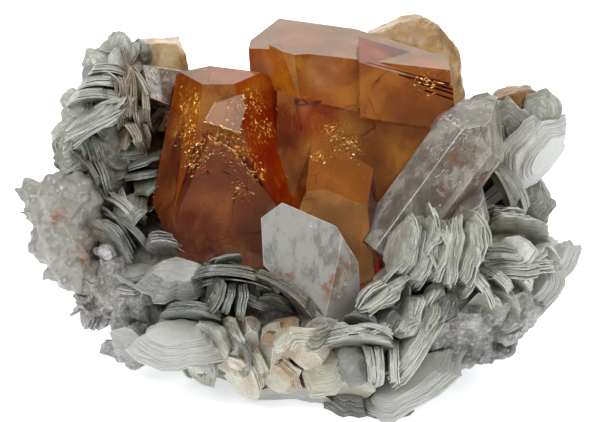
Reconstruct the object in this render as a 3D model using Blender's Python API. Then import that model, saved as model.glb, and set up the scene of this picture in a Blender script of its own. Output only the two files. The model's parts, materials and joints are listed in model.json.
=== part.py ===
"""Scheelite crystals with quartz in a bowl of bladed muscovite: a mineral specimen 100 mm wide.

Lengths in the tables are millimetres. X runs left to right, the display side faces -Y, and
the specimen rests on a flat patch at Z = 0.
"""

from math import cos, pi, radians, sin
import random

import bmesh
import bpy
from mathutils import Matrix, Vector

MM = 0.001
GAP = 0.35  # clear space round each crystal where the muscovite takes it in
DISPLAY_TILT = radians(22)  # the display side looks this far upwards
BLADE_SIDES = 7  # corners of a muscovite blade's outline
BLADE_TAPER = 0.9  # upper face of a blade against its lower face
QUARTZ_TIP_ANGLE = radians(38.2)  # between a prism face and the tip face above it
QUARTZ_TIP_STEP = 0.25  # one step of a tip face, against the prism's radius
ROUGHNESS = (0.86, 1.06)  # how far a lump's corners stand in or out
SEED = 11

ACROSS = Vector((1, 0, 0))
UPWARD = Vector((0, sin(DISPLAY_TILT), cos(DISPLAY_TILT)))
OUTWARD = Vector((0, -cos(DISPLAY_TILT), sin(DISPLAY_TILT)))

# Bowl: each lump of massive muscovite is a centre and three half-sizes.
LUMPS = {
    "floor": ((3, -2, 7), (33, 25, 10)),
    "front rim": ((0, -19, 12), (28, 8, 8)),
    "front middle": ((-9, -18, 19), (10, 6, 6)),
    "right front": ((27, -12, 16), (15, 10, 10)),
    "rosette heart": ((22, -18, 23), (9, 6, 7)),
    "right knob": ((36, -11, 14), (7, 6, 6)),
    "left front": ((-27, -8, 18), (12, 10, 9)),
    "left wall": ((-35, 5, 32), (8, 13, 17)),
    "left shoulder": ((-31, 10, 44), (7, 8, 8)),
    "right wall": ((38, 7, 27), (8, 12, 12)),
    "right shoulder": ((37, 10, 36), (9, 9, 9)),
    "left back": ((-20, 19, 30), (14, 9, 14)),
    "right back": ((22, 21, 28), (15, 9, 17)),
    "back wall": ((2, 22, 22), (32, 9, 16)),
}

# Single blades: centre, length, width, thickness, direction of the length on the display
# side in degrees, and lean in degrees (0 shows the edge, 90 shows the face).
BLADES = {
    "left diagonal": ((-36.5, 0, 45.5), 14.5, 11, 2.4, 35, 12),
    "left crown": ((-31.5, 10, 54), 5, 9, 1.4, 36, 60),
    "left crown white": ((-29.5, 11, 53), 4.5, 8, 1.4, 130, 65),
    "left shoulder": ((-36, 8, 53), 4.5, 8, 1.5, 23, 55),
    "left pale fin": ((-37.5, 5, 51), 5, 7, 1.3, 108, 60),
    "left cheek": ((-40.5, 2, 47), 5, 9, 1.6, 42, 50),
    "left outer rim": ((-42, -1, 42.5), 6.5, 9, 1.6, 80, 45),
    "left post foot": ((-28, 1, 41.5), 6, 10, 1.2, 108, 0),
    "left inner low": ((-26.5, -5, 35), 6.5, 9, 1.4, 26, 25),
    "left inner face": ((-32.5, -3, 38), 5, 6, 1.4, 28, 65),
    "left lip": ((-30.5, -6, 30.5), 7, 10, 1.4, 137, 12),
    "left slab": ((-35, -7, 31.5), 9, 10, 1.6, 118, 22),
    "left broad face": ((-32, -11, 27), 10.5, 11, 1.7, 178, 58),
    "left stepped": ((-23.5, -12, 26), 7, 10, 2.1, 177, 30),
    "white cap": ((-21.5, -20, 23.5), 11.5, 11, 3, 3, 42),
    "white shell": ((-21, -24, 13), 16.5, 10, 3, 5, 50),
    "left low rim": ((-36, -10, 15.5), 7.5, 10, 1.8, 14, 42),
    "left low face": ((-29.5, -16, 13.5), 8, 9, 2.1, 172, 58),
    "left purple face": ((-33.5, -10.5, 20.5), 11, 10, 2.1, 14, 50),
    "left keel": ((-29.5, -15, 7.5), 7.5, 12, 2.5, 166, 35),
    "dark arc left": ((-11, -19, 24.5), 10, 11, 1.7, 178, 12),
    "dark arc right": ((-2, -23, 22.5), 12.5, 9, 1.7, 145, 12),
    "dark arc under": ((-9.5, -21, 22.5), 11, 11, 1.5, 169, 8),
    "front wavy": ((-18, -23, 18.5), 10.5, 10, 1.7, 172, 15),
    "front dome": ((2.5, -28, 17.5), 7, 8, 1.7, 7, 38),
    "front shelf": ((10, -28, 16), 11.5, 11, 2, 179, 15),
    "front grey face": ((9, -29, 12), 6, 8, 2, 7, 65),
    "front yellow face": ((1, -29, 13.5), 8, 9, 2.4, 179, 45),
    "front foot": ((-1, -20, 2), 13, 13, 2.4, 173, 25),
    "front foot right": ((8.5, -21, 2.5), 8, 12, 2.4, 3, 35),
    "front left foot": ((-9.5, -24, 8), 8.5, 10, 2.1, 135, 25),
    "front step": ((13, -25, 23), 8, 10, 1.5, 28, 15),
    "front green": ((13.5, -26, 19), 6.5, 9, 1.5, 35, 25),
    "right keel": ((21, -21, 6.5), 16.5, 14, 2.8, 30, 35),
    "right lens": ((18.5, -26, 14), 14.5, 10, 2.4, 56, 18),
    "rosette crescent": ((28, -20, 28), 13, 12, 2.7, 74, 25),
    "rosette dome": ((37, -9, 27.5), 12, 13, 2.4, 179, 35),
    "right wing": ((42.5, -9, 16), 9.5, 10, 2.5, 53, 38),
    "right wing tip": ((45.6, -5, 21), 9, 9.5, 2.6, 50, 42),
    "right grey face": ((28.5, -20, 13.5), 11, 12, 2.4, 176, 58),
    "right low face": ((29, -18, 9), 10, 11, 2.4, 10, 38),
    "rear right crown": ((43.5, 10, 44.5), 7, 9, 1.6, 130, 60),
    "rear right leaf": ((38.5, 6, 44), 7.5, 8, 1.6, 136, 58),
    "rear right bit": ((32.5, 9.5, 44), 7, 8, 1.8, 30, 45),
    "rear bud": ((41, 1, 28), 5.5, 8, 2.1, 119, 50),
    "rear sill": ((36, -3, 28), 6.5, 10, 1.6, 175, 12),
    "left upper face": ((-39, 2, 45), 7, 9, 1.5, 43, 55),
    "left mid face": ((-40, -2, 39), 6, 9, 1.5, 24, 60),
    "left dark slab": ((-34, -6, 33.5), 7, 9, 1.4, 60, 40),
    "left flank": ((-30, -7, 31.5), 7, 9, 1.3, 39, 30),
    "left rough": ((-31.5, -13, 23), 8, 10, 1.6, 172, 40),
    "left rough low": ((-37, -10, 14.5), 7, 10, 1.6, 126, 30),
    "shell wing": ((-29, -18, 10.5), 7, 9, 1.6, 145, 35),
    "shell back": ((-14, -25, 14.5), 7, 9, 1.5, 132, 25),
    "front ridge": ((-10, -26, 12.5), 8, 9, 1.4, 118, 20),
    "front sill": ((-3, -27, 16.5), 7.5, 9, 1.4, 28, 35),
    "front bright": ((4, -29, 10.5), 7.5, 9, 1.7, 8, 50),
    "front low pale": ((-3.5, -26, 7.5), 7, 9, 2.1, 165, 45),
    "front low mid": ((9, -25, 6.5), 7.5, 9, 1.7, 172, 30),
    "front green low": ((11, -27, 18), 6, 9, 1.4, 153, 30),
    "front corner": ((17.5, -26, 19.5), 7, 9, 1.5, 60, 20),
    "right stack": ((20, -25, 18), 8.5, 9, 1.5, 55, 22),
    "right under rosette": ((23.5, -23, 20), 6, 9, 1.5, 57, 25),
    "right knob face": ((36, -16, 13.5), 8.5, 9, 2.1, 22, 55),
    "right lower edge": ((34, -15, 8), 10, 10, 2.1, 27, 40),
    "right side low": ((38.5, -11, 9.5), 8.5, 10, 2.1, 34, 45),
    "right mid": ((32, -19, 18), 6, 9, 1.4, 165, 35),
    "right cheek": ((42.5, -10, 23.5), 6, 9, 1.6, 155, 30),
    "right wing low": ((44, -5, 16.5), 8, 10, 1.8, 58, 35),
    "rear right face": ((44.5, 8, 40.5), 6, 9, 1.6, 130, 55),
    "rear right neck": ((40, 4, 43), 6, 9, 1.3, 36, 35),
    "rear right base": ((41.5, 2, 31), 7, 10, 1.6, 46, 40),
}

# Sheaves: how many blades, the first one and the last one, with the rest between them.
SHEAVES = {
    "left shelf": (3, ((-33.5, 7, 51), 7, 12, 1.4, 178, 12), ((-35.5, 2, 48.5), 9, 12, 1.4, 181, 10)),
    "left post": (3, ((-30.5, 4, 47.5), 11, 10, 1.1, 93, 0), ((-28, 5, 47.5), 10, 10, 1.1, 91, 0)),
    "left fan": (4, ((-38, -1, 39.5), 6.5, 9, 1.2, 114, 12), ((-34, 0, 39), 8, 10, 1.2, 104, 8)),
    "left low fan": (2, ((-37, -3, 36), 9.5, 10, 1.3, 120, 15), ((-34.5, -2, 35.5), 9.5, 10, 1.3, 112, 10)),
    "left inner": (2, ((-27, -1, 38), 8, 10, 1.2, 21, 10), ((-27, -3, 36), 7, 10, 1.4, 9, 6)),
    "dark blades": (3, ((-14.5, -23, 22), 5, 9, 1, 60, 0), ((-10.5, -25, 21), 6, 9, 1.1, 86, 5)),
    "front fan": (3, ((12, -28, 11), 7.5, 9, 1.2, 97, 5), ((15.5, -27, 11), 7, 9, 1.2, 89, 0)),
    "rosette": (4, ((17, -20, 29), 11.5, 10, 2.1, 72, 25), ((25, -20, 28), 11, 10, 1.5, 79, 15)),
    "rosette shelf": (3, ((35.5, -13, 27.2), 10, 12, 1.6, 0, 20), ((36, -15, 24), 15, 13, 1.6, 3, 10)),
    "rosette ray": (3, ((30.5, -20, 23), 6.5, 10, 1.4, 132, 5), ((37.5, -16, 22), 6, 10, 1.4, 150, 10)),
    "rear slant": (4, ((40, 5, 38), 10, 10, 1.4, 56, 15), ((44, 6, 34), 11, 11, 1.6, 53, 22)),
    "rear post": (2, ((36, 0, 33), 9.5, 10, 1.4, 103, 5), ((37.5, 1, 31.5), 9, 10, 1.4, 104, 5)),
}

# Rows of blades round the back and sides: height, half-width and half-depth of the wall there,
# first and last angle in degrees seen from above, and how many blades.
BACK_ROWS = [
    (8, 32, 24, -15, 195, 11),
    (17, 38, 28.5, -5, 190, 12),
    (27, 39, 29, 12, 172, 11),
    (36, 35, 27, 20, 160, 9),
]

# Where two crystals meet, the first is cut back, with the gap, for each one listed.
MAKES_ROOM_FOR = {
    "scheelite_pair": ["quartz_tall", "quartz_front"],
    "scheelite_back": ["scheelite_pair"],
    "scheelite_small_left": ["scheelite_pair"],
    "quartz_small_right": ["quartz_tall", "scheelite_pair"],
    "quartz_smoky_left": ["scheelite_pair", "scheelite_small_left"],
    "quartz_low_front": ["quartz_front"],
}

# Pale quartz cluster at the left edge: centre and half-sizes of its lumps.
PALE_KNOBS = [
    ((-43, -5.5, 31), (6.4, 5.4, 6.6)),
    ((-38.5, -5, 32), (6, 5.4, 5.6)),
    ((-41.5, -8, 25.5), (7, 5.6, 6)),
    ((-40, -9.5, 20.5), (6.2, 5, 4.4)),
    ((-37, -9, 18.5), (5.5, 4.6, 3.6)),
]
# Foot, tip and radius of its two fingers.
PALE_FINGERS = [
    ((-42, -5, 33.5), (-49.8, -6, 34), 1.9),
    ((-42, -6, 30.5), (-49.2, -8, 30.5), 1.6),
]


def clear_scene():
    for obj in list(bpy.data.objects):
        bpy.data.objects.remove(obj, do_unlink=True)


def make_collection(name, hidden=False, inside=None):
    group = bpy.data.collections.new(name)
    group.hide_render = hidden
    (inside or bpy.context.scene.collection).children.link(group)
    return group


def make_material(name, colour, roughness, transmission=0.0, ior=1.5):
    """Principled material in linear RGB."""
    material = bpy.data.materials.new(name)
    material.use_nodes = True
    shader = material.node_tree.nodes["Principled BSDF"]
    shader.inputs["Base Color"].default_value = (*colour, 1)
    shader.inputs["Roughness"].default_value = roughness
    shader.inputs["Metallic"].default_value = 0.0
    shader.inputs["Transmission Weight"].default_value = transmission
    shader.inputs["IOR"].default_value = ior
    material.diffuse_color = (*colour, 1)
    return material


def add_object(name, bm, group, material=None):
    """Turns a bmesh into an object of the group."""
    bmesh.ops.recalc_face_normals(bm, faces=bm.faces[:])
    mesh = bpy.data.meshes.new(name)
    bm.to_mesh(mesh)
    bm.free()
    obj = bpy.data.objects.new(name, mesh)
    group.objects.link(obj)
    if material:
        mesh.materials.append(material)
    if group.hide_render:
        obj.hide_render = True
        obj.display_type = "WIRE"
    return obj


def join(obj, group, operation="UNION"):
    """Adds one exact Boolean that takes every object of a group at once."""
    modifier = obj.modifiers.new(group.name, "BOOLEAN")
    modifier.operation = operation
    modifier.operand_type = "COLLECTION"
    modifier.collection = group
    modifier.solver = "EXACT"


def add_crystal(name, shapes, group, material):
    """One crystal, or a group grown together: the first shape fused with the rest."""
    crystal = add_object(name, shapes[0](), group, material)
    if len(shapes) > 1:
        others = make_collection(name + "_shapes", hidden=True)
        for number, shape in enumerate(shapes[1:], 1):
            add_object(f"{name}_shape_{number}", shape(), others)
        join(crystal, others)


def slice_off(bm, point, normal, grow):
    """Cuts away what lies beyond a plane moved outwards by grow, and closes the cut."""
    everything = bm.verts[:] + bm.edges[:] + bm.faces[:]
    cut = bmesh.ops.bisect_plane(
        bm, geom=everything, dist=1e-8, plane_co=point + normal * grow, plane_no=normal,
        clear_outer=True,
    )
    rim = [part for part in cut["geom_cut"] if isinstance(part, bmesh.types.BMEdge)]
    bmesh.ops.holes_fill(bm, edges=rim)


def cut_block(heart, reach, faces, grow=0.0):
    """A cube cut by planes; each plane goes through three corners and keeps the heart's side."""
    heart = Vector(heart) * MM
    bm = bmesh.new()
    bmesh.ops.create_cube(bm, size=2 * reach * MM, matrix=Matrix.Translation(heart))
    for corners in faces:
        a, b, c = (Vector(corner) * MM for corner in corners)
        normal = (b - a).cross(c - a).normalized()
        if normal.dot(heart - a) > 0:
            normal.negate()
        slice_off(bm, a, normal, grow * MM)
    return bm


def quartz(foot, tip, radius, spin, flat=1.0, tip_steps=(0, 2, 0, 2, 0, 2), grow=0.0):
    """A six-sided quartz prism with a six-faced tip; alternate tip faces step back."""
    foot, tip = Vector(foot) * MM, Vector(tip) * MM
    axis = (tip - foot).normalized()
    side = axis.cross(OUTWARD).normalized()
    front = side.cross(axis)
    bm = bmesh.new()
    bmesh.ops.create_cube(bm, size=4 * (tip - foot).length, matrix=Matrix.Translation(foot))
    slice_off(bm, foot, -axis, grow * MM)
    for turn, step in enumerate(tip_steps):
        angle = radians(spin + 60 * turn)
        out = side * cos(angle) + front * sin(angle)
        half = radius * MM * (flat if turn % 3 == 0 else 1)
        slice_off(bm, foot + out * half, out, grow * MM)
        slant = out * cos(QUARTZ_TIP_ANGLE) + axis * sin(QUARTZ_TIP_ANGLE)
        slice_off(bm, tip + slant * step * QUARTZ_TIP_STEP * radius * MM, slant, grow * MM)
    return bm


def front_block(grow=0.0):
    """Front scheelite: a stout block with a small level top and a tall two-part front."""
    return cut_block((-9, 0, 34), 40, [
        ((-20, -1, 54.2), (-16.7, -6, 53.6), (-7.6, -2.6, 54.2)),  # level top
        ((-16.7, -6, 53.6), (-10, -6, 53.9), (-11.7, -10.5, 43.5)),  # upper front
        ((-18, -9.5, 46.5), (-6.5, -12.5, 37.5), (-20.5, -15, 25)),  # broad front
        ((-21.5, -1, 53.2), (-16.7, -6, 53.6), (-23, -14.5, 28)),  # left bevel
        ((-21.5, -1, 53.2), (-25, -3, 35), (-24.5, 8, 35)),  # left side
        ((-24.7, -8, 31), (-20.5, -15, 24.5), (-23, 4, 26)),  # lower left
        ((-7.6, -2.6, 54.2), (-6.5, -12.5, 37.5), (-1.7, -1, 49)),  # right front
        ((-15.7, 1.4, 54.2), (-9.4, -0.7, 54.2), (-14, 11, 44)),  # back slope
        ((-20.2, -0.9, 54.2), (-15.7, 1.4, 54.2), (-22, 9, 42)),  # back left slope
        ((-20, 12, 40), (0, 12, 40), (0, 12, 20)),  # back
        ((-20, 0, 13), (0, 0, 13), (0, 10, 13)),  # foot
        ((2, 0, 40), (2, 10, 40), (2, 0, 20)),  # joined side
    ], grow)


def front_facet(grow=0.0):
    """Small sloping face that stands proud of the front block, with a dark step under it."""
    return cut_block((-12, -7, 49.6), 12, [
        ((-14.5, -7.9, 51), (-10, -7.2, 52.4), (-10.4, -11.6, 46.8)),  # sloping face
        ((-10, -6.6, 52.4), (-9.3, -8.4, 50), (-9.6, -4, 50.5)),  # upper right side
        ((-9.3, -8.4, 50), (-10.4, -11.2, 46.8), (-9.4, -5, 47)),  # lower right side
        ((-14.5, -7.2, 51), (-16.2, -9.4, 48.2), (-15.6, -5, 50)),  # left side
        ((-14.5, -7.2, 51), (-10, -6.6, 52.4), (-12, -4, 52.2)),  # upper edge
        ((-16.2, -9.4, 48.2), (-10.4, -11.2, 46.8), (-13, -6, 47.8)),  # underside
        ((-16, -5, 50), (-10, -5, 50), (-10, -5, 45)),  # inside the block
    ], grow)


def front_slab(grow=0.0):
    """Broad lower face of the front block, proud of the face above along a crooked crack."""
    return cut_block((-14, -7, 36), 30, [
        ((-18, -10.1, 46.5), (-6.5, -13.1, 37.5), (-20.5, -15.6, 25)),  # broad face
        ((-18, -9.5, 46.6), (-11.7, -10.5, 43.4), (-15, -4, 44.6)),  # edge along the crack, left
        ((-11.7, -10.5, 43.4), (-6.3, -12.5, 37.2), (-9, -4, 40)),  # edge along the crack, right
        ((-22.4, -8.6, 40), (-18.6, -8, 46), (-23.2, -14.6, 28)),  # left bevel
        ((-24.4, -8.2, 31), (-20.4, -15.2, 24.5), (-23, 4, 26)),  # lower left
        ((-21.5, -1, 53.2), (-24.8, -3, 35), (-24.3, 8, 35)),  # left side
        ((-5.2, -12.8, 36), (0, -15.4, 28), (-4, -4, 34)),  # right edge
        ((-20, 0, 14), (0, 0, 14), (0, 10, 14)),  # foot
        ((-20, -2, 40), (0, -2, 40), (0, -2, 20)),  # inside the block
    ], grow)


def upper_block(grow=0.0):
    """Upper scheelite: a long blocky crystal lying across the top."""
    return cut_block((10, 4, 50), 40, [
        ((-3.5, 13, 59.2), (1.7, -3.2, 58), (25.8, -1.2, 54.6)),  # top
        ((-3.5, 13, 59.2), (-3.2, -3, 59), (-8.7, 5, 57.2)),  # top left
        ((-9, 3, 57.4), (-3.4, -3, 59.2), (-7.6, 1.5, 53)),  # left front
        ((-9, 3, 57.4), (-8.6, 8, 57.3), (-8, 7, 46)),  # left end
        ((-8.5, 7.2, 57.3), (-4.4, 12.6, 59), (-7.4, 10, 48)),  # back left corner
        ((1.7, -2.8, 58), (25.8, -1.4, 54.6), (2.5, -5.1, 50)),  # front
        ((26, -1, 54.5), (26, 8, 54), (27, -2, 44)),  # right end
        ((11, 12.5, 57.2), (24.5, 5.5, 55), (22, 14, 46)),  # back right
        ((-3.5, 13.2, 59), (11, 13.2, 57), (8, 14, 46)),  # back
        ((2, -5, 50.2), (22, -5, 45.4), (12, 8, 46.5)),  # joined underside
    ], grow)


def upper_rib(grow=0.0):
    """Narrow upright rib at the upper crystal's left front corner."""
    return cut_block((-1.6, -3, 55), 10, [
        ((-3.5, 13, 59.2), (1.7, -3.2, 58), (25.8, -1.2, 54.6)),  # top
        ((-9, 3, 57.4), (-3.4, -3, 59.2), (-7.6, 1.5, 53)),  # left front
        ((-3.4, -3.1, 59.2), (-1, -4.1, 58.8), (-0.9, -6.1, 51.7)),  # pale face
        ((-1, -4.1, 58.8), (1.6, -2.7, 58.2), (0.8, -6, 51.2)),  # dark face
        ((1.9, -5, 58), (1.9, 0, 58), (2.4, -5, 51)),  # right side
        ((-3, -6, 51.4), (2, -6, 51), (0, 2, 50.4)),  # underside
        ((-4, -1, 58), (2, -1, 58), (0, -1.6, 52)),  # inside the crystal
    ], grow)


def right_ledge(grow=0.0):
    """Right half of the upper crystal's front, standing a little proud below a sunken strip."""
    return cut_block((18, 0, 48), 14, [
        ((10.2, -4.2, 57), (25.8, -2.4, 53), (10.8, -6.2, 49)),  # front
        ((10.2, -4.2, 57), (25.8, -2.4, 52.4), (12, 2, 57.5)),  # ledge on top
        ((10.2, -4.2, 57), (10.2, 2, 57), (10.4, -5, 48)),  # left step
        ((26.4, -2, 53), (26.4, 4, 53), (27.2, -3, 44)),  # right end
        ((12, -6.4, 47.5), (24, -4.8, 45), (16, 0, 45)),  # underside
        ((10, 5, 50), (20, 5, 50), (20, 5, 44)),  # inside the block
    ], grow)


def lower_block(grow=0.0):
    """Body below the upper crystal, set back between it and the foot of the group."""
    return cut_block((13, 2, 32), 30, [
        ((0, -5.6, 46), (24, -4.6, 45.5), (14, -12, 28)),  # front
        ((0, -4, 51), (24, -4, 46.2), (12, 8, 48)),  # top
        ((27, -4, 44), (27, 8, 44), (25, -8, 26)),  # right side
        ((0, 14.6, 45), (20, 14.6, 45), (20, 14, 20)),  # back
        ((-4, 0, 40), (-4, 10, 40), (-4, 0, 20)),  # joined side
        ((0, 0, 13), (20, 0, 13), (20, 10, 13)),  # foot
    ], grow)


def corner_block(grow=0.0):
    """Low crystal corner in front, with a ridge that runs down to the right."""
    return cut_block((5, -8, 30), 16, [
        ((0.9, -12.6, 36.4), (11.6, -12.4, 33.6), (12.2, -14.4, 28.2)),  # front
        ((4.3, -11.8, 37), (11.6, -12.4, 33.6), (6, -8, 41)),  # right slope
        ((0.9, -12.6, 36.4), (4.3, -11.8, 37), (2.5, -8.5, 41)),  # left slope
        ((-1.5, -16.5, 29), (0.9, -12.6, 36.4), (-3, -8, 33)),  # left side
        ((11.6, -12.4, 33.6), (12.2, -14.4, 28.2), (16, -7, 31)),  # right side
        ((0, -10, 20), (10, -10, 20), (10, -4, 20)),  # foot
        ((0, -2, 30), (10, -2, 30), (10, -2, 20)),  # inside the group
    ], grow)


def back_scheelite(grow=0.0):
    """Rough pale crystal that stands behind the upper one."""
    return cut_block((20, 19.5, 40), 30, [
        ((13, 16, 56), (18, 17, 57.6), (15, 24, 55)),  # top left
        ((18, 17, 57.6), (22.4, 18, 58), (19, 25, 56)),  # crown
        ((22.4, 18, 58), (25, 18, 56.8), (24, 25, 55)),  # crown, right
        ((25, 18, 56.8), (29, 16.6, 51.4), (28, 24, 50)),  # top right
        ((29, 17, 51.4), (29.6, 16, 44), (29.4, 24, 46)),  # right side
        ((29.6, 16, 44), (27, 15.6, 24), (28, 24, 24)),  # lower right
        ((10, 14.9, 52), (28, 14.9, 50), (24, 14.3, 20)),  # front
        ((18, 16.2, 57.4), (27, 15.4, 53.8), (26, 14.9, 50)),  # front crown
        ((11, 16, 54), (10.4, 20, 36), (12, 24, 50)),  # left side
        ((12, 25.6, 50), (26, 24.6, 48), (22, 25.6, 22)),  # back
        ((12, 23.6, 54), (24, 23.6, 54), (18, 26, 47)),  # back slope
        ((10, 18, 26), (20, 18, 26), (20, 24, 26)),  # foot
    ], grow)


def left_scheelite(grow=0.0):
    """Pale amber block at the left shoulder."""
    return cut_block((-24.5, 14, 46), 14, [
        ((-28.6, 14, 54.4), (-22, 15, 54.9), (-25, 19, 54)),  # top
        ((-22, 15, 54.9), (-20.6, 12.5, 53.4), (-21, 18, 53.4)),  # bevelled right top
        ((-20.6, 12.5, 53.4), (-19.6, 11, 50), (-20.4, 18, 48)),  # right side
        ((-28.6, 12, 54), (-20.6, 11.6, 53.6), (-24, 10.4, 46)),  # front
        ((-29, 14, 54), (-29.2, 18, 50), (-29, 12, 40)),  # left side
        ((-28, 18.6, 53), (-21, 18.2, 53), (-24, 19.6, 42)),  # back
        ((-28, 14, 39), (-22, 14, 39), (-22, 18, 39)),  # foot
    ], grow)


def right_scheelite(grow=0.0):
    """Brown amber crystal that shows over the right rear blades."""
    return cut_block((39, 12.5, 41), 12, [
        ((35.2, 11, 45), (38.5, 12, 46.4), (37, 16, 45.4)),  # top left
        ((38.5, 12, 46.4), (41.6, 12, 46.3), (40, 16.5, 45.6)),  # top
        ((41.6, 12, 46.3), (43.6, 11.5, 44.2), (42.6, 16, 44)),  # top right
        ((35.2, 10.4, 45), (43, 10.2, 44.6), (39, 9.4, 38)),  # front
        ((35, 12, 44), (34.8, 16, 42), (35.4, 12, 34)),  # left side
        ((43.8, 12, 44), (43.4, 16, 42), (43, 12, 34)),  # right side
        ((36, 16.6, 45), (43, 16.2, 44), (40, 17, 34)),  # back
        ((36, 14, 35), (42, 14, 35), (42, 18, 35)),  # foot
    ], grow)


def tall_quartz(grow=0.0):
    """Long clear prism that leans out to the right."""
    return quartz((15, -11.5, 24), (34, -3.5, 48.9), 6.2, 20, 0.9, (0, 1.6, 0.4, 2, 0.6, 1.2), grow)


def small_quartz(grow=0.0):
    """Stub of clear quartz at the foot of the tall one."""
    return quartz((26, -13, 24), (31.5, -9, 36), 3.6, 5, 1, (0, 1, 0, 1, 0.5, 1), grow)


def smoky_quartz(grow=0.0):
    """Grey quartz stub between the left blades and the front scheelite."""
    return cut_block((-24.4, 5, 50), 12, [
        ((-27.6, 4, 54), (-24.8, 3.6, 54.4), (-26, 9, 55)),  # top left
        ((-24.8, 3.6, 54.4), (-20.4, 4, 52.6), (-23, 9, 54.6)),  # top right
        ((-27.6, 4, 54), (-24.8, 3.4, 54.2), (-25.2, 0.8, 50)),  # front left
        ((-24.8, 3.4, 54.2), (-20.4, 4, 52.4), (-22.6, 0.6, 49)),  # front right
        ((-27.6, 4, 53.6), (-27.8, 9, 52), (-26.6, 2, 49)),  # left side
        ((-20.6, 3.6, 52.4), (-21, 9, 52), (-21.4, 1, 47)),  # right side
        ((-26, 9.6, 53), (-21, 9.4, 52), (-24, 9.8, 46)),  # back
        ((-26.4, 1, 48.6), (-22, 1, 46.8), (-24, 8, 44)),  # underside
    ], grow)


def front_quartz(grow=0.0):
    """Stubby milky crystal that leans back against the scheelite's foot."""
    return cut_block((0.5, -19.5, 28), 16, [
        ((-6.5, -21, 35), (-3, -19, 36.8), (-5.5, -16, 33)),  # top left
        ((-3, -19, 36.8), (6, -21, 33.6), (2, -16.4, 33)),  # top
        ((6, -21, 33.6), (9.4, -18, 26.5), (7.5, -16.2, 29)),  # upper right
        ((-3, -20, 36.5), (-6.2, -24, 27.5), (4.5, -25.4, 20)),  # front
        ((5.4, -21.8, 33.4), (4.8, -25, 21), (9.6, -20, 24)),  # right front
        ((-6.6, -21, 35), (-6.2, -24, 27.5), (-6.2, -17, 27)),  # left side
        ((-6.2, -24, 27.5), (-2.4, -26, 24), (-4, -18, 22.5)),  # lower left
        ((9.6, -18, 25), (10, -19, 21), (8.5, -15, 18)),  # right side
        ((0, -15.8, 33), (6, -15.8, 33), (0, -18.4, 18)),  # back
        ((-2, -22, 16.5), (6, -22, 16.5), (4, -16, 16.5)),  # foot
    ], grow)


def low_quartz(grow=0.0):
    """Two yellowish points low in front, grown side by side: the taller one."""
    return quartz((-4.4, -24, 9), (-3.6, -27.4, 18.6), 2.6, 10, 1, (0, 1, 0, 1, 0, 1), grow)


def low_quartz_side(grow=0.0):
    """The shorter of the two yellowish points."""
    return quartz((-7.6, -23, 10), (-9.4, -26.4, 19), 2, 25, 1, (0, 1, 0, 1, 0, 1), grow)


def pale_knob(number):
    """One lump of the pale cluster at the left edge, as a shape that can grow."""
    centre, half = PALE_KNOBS[number]
    return lambda grow=0.0: lump(centre, [size + grow for size in half], 1)


def pale_finger(number):
    """One blunt quartz finger of the pale cluster, as a shape that can grow."""
    foot, tip, radius = PALE_FINGERS[number]
    return lambda grow=0.0: quartz(foot, tip, radius, 15, 1, (0, 1, 0, 1, 0, 1), grow)


def lump(centre, half, detail=2):
    """A rough rounded mass, from an icosphere stretched to its half-sizes."""
    bm = bmesh.new()
    bmesh.ops.create_icosphere(bm, subdivisions=detail, radius=1)
    dents = random.Random(sum(centre))
    for vert in bm.verts:
        vert.co *= dents.uniform(*ROUGHNESS)
    place = Matrix.Translation(Vector(centre) * MM) @ Matrix.Diagonal((*(h * MM for h in half), 1))
    bmesh.ops.transform(bm, matrix=place, verts=bm.verts[:])
    return bm


def blade(centre, length, width, thickness, angle, lean, turn=0.0):
    """One muscovite book: a flat plate with a many-sided outline and a slightly smaller top."""
    angle, lean = radians(angle), radians(lean)
    along = ACROSS * cos(angle) + UPWARD * sin(angle)
    edge_up = UPWARD * cos(angle) - ACROSS * sin(angle)
    normal = edge_up * cos(lean) + OUTWARD * sin(lean)
    wide = normal.cross(along)
    return plate(centre, along * length / 2, wide * width / 2, normal * thickness, turn)


def plate(centre, long_half, wide_half, normal, turn=0.0):
    """A cone frustum squeezed to the two half-axes and the thickness, which are vectors in mm."""
    bm = bmesh.new()
    bmesh.ops.create_cone(
        bm, cap_ends=True, segments=BLADE_SIDES, radius1=1, radius2=BLADE_TAPER, depth=1,
        matrix=Matrix.Rotation(turn, 4, "Z"),
    )
    frame = Matrix((long_half, wide_half, normal)).transposed().to_4x4()
    place = Matrix.Translation(Vector(centre) * MM) @ Matrix.Scale(MM, 4) @ frame
    bmesh.ops.transform(bm, matrix=place, verts=bm.verts[:])
    return bm


def between(first, last, share):
    """The blade a share of the way from the first to the last of a sheaf."""
    centre = Vector(first[0]).lerp(Vector(last[0]), share)
    return (centre, *(a + (b - a) * share for a, b in zip(first[1:], last[1:])))


def muscovite_bowl(group, cutters, parts, material):
    """The bowl: lumps, named blades, sheaves and loose blades fused, then cut for the crystals."""
    bodies = [lump(*LUMPS[name]) for name in LUMPS]
    bodies += [blade(*row) for row in BLADES.values()]
    for count, first, last in SHEAVES.values():
        bodies += [blade(*between(first, last, step / (count - 1))) for step in range(count)]
    bodies += [plate(*row) for row in back_blades()]
    first = bodies.pop(0)
    for number, body in enumerate(bodies):
        add_object(f"mica_{number:03d}", body, group)
    bowl = add_object("muscovite_matrix", first, parts, material)
    join(bowl, group)
    join(bowl, cutters, "DIFFERENCE")
    return bowl


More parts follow.
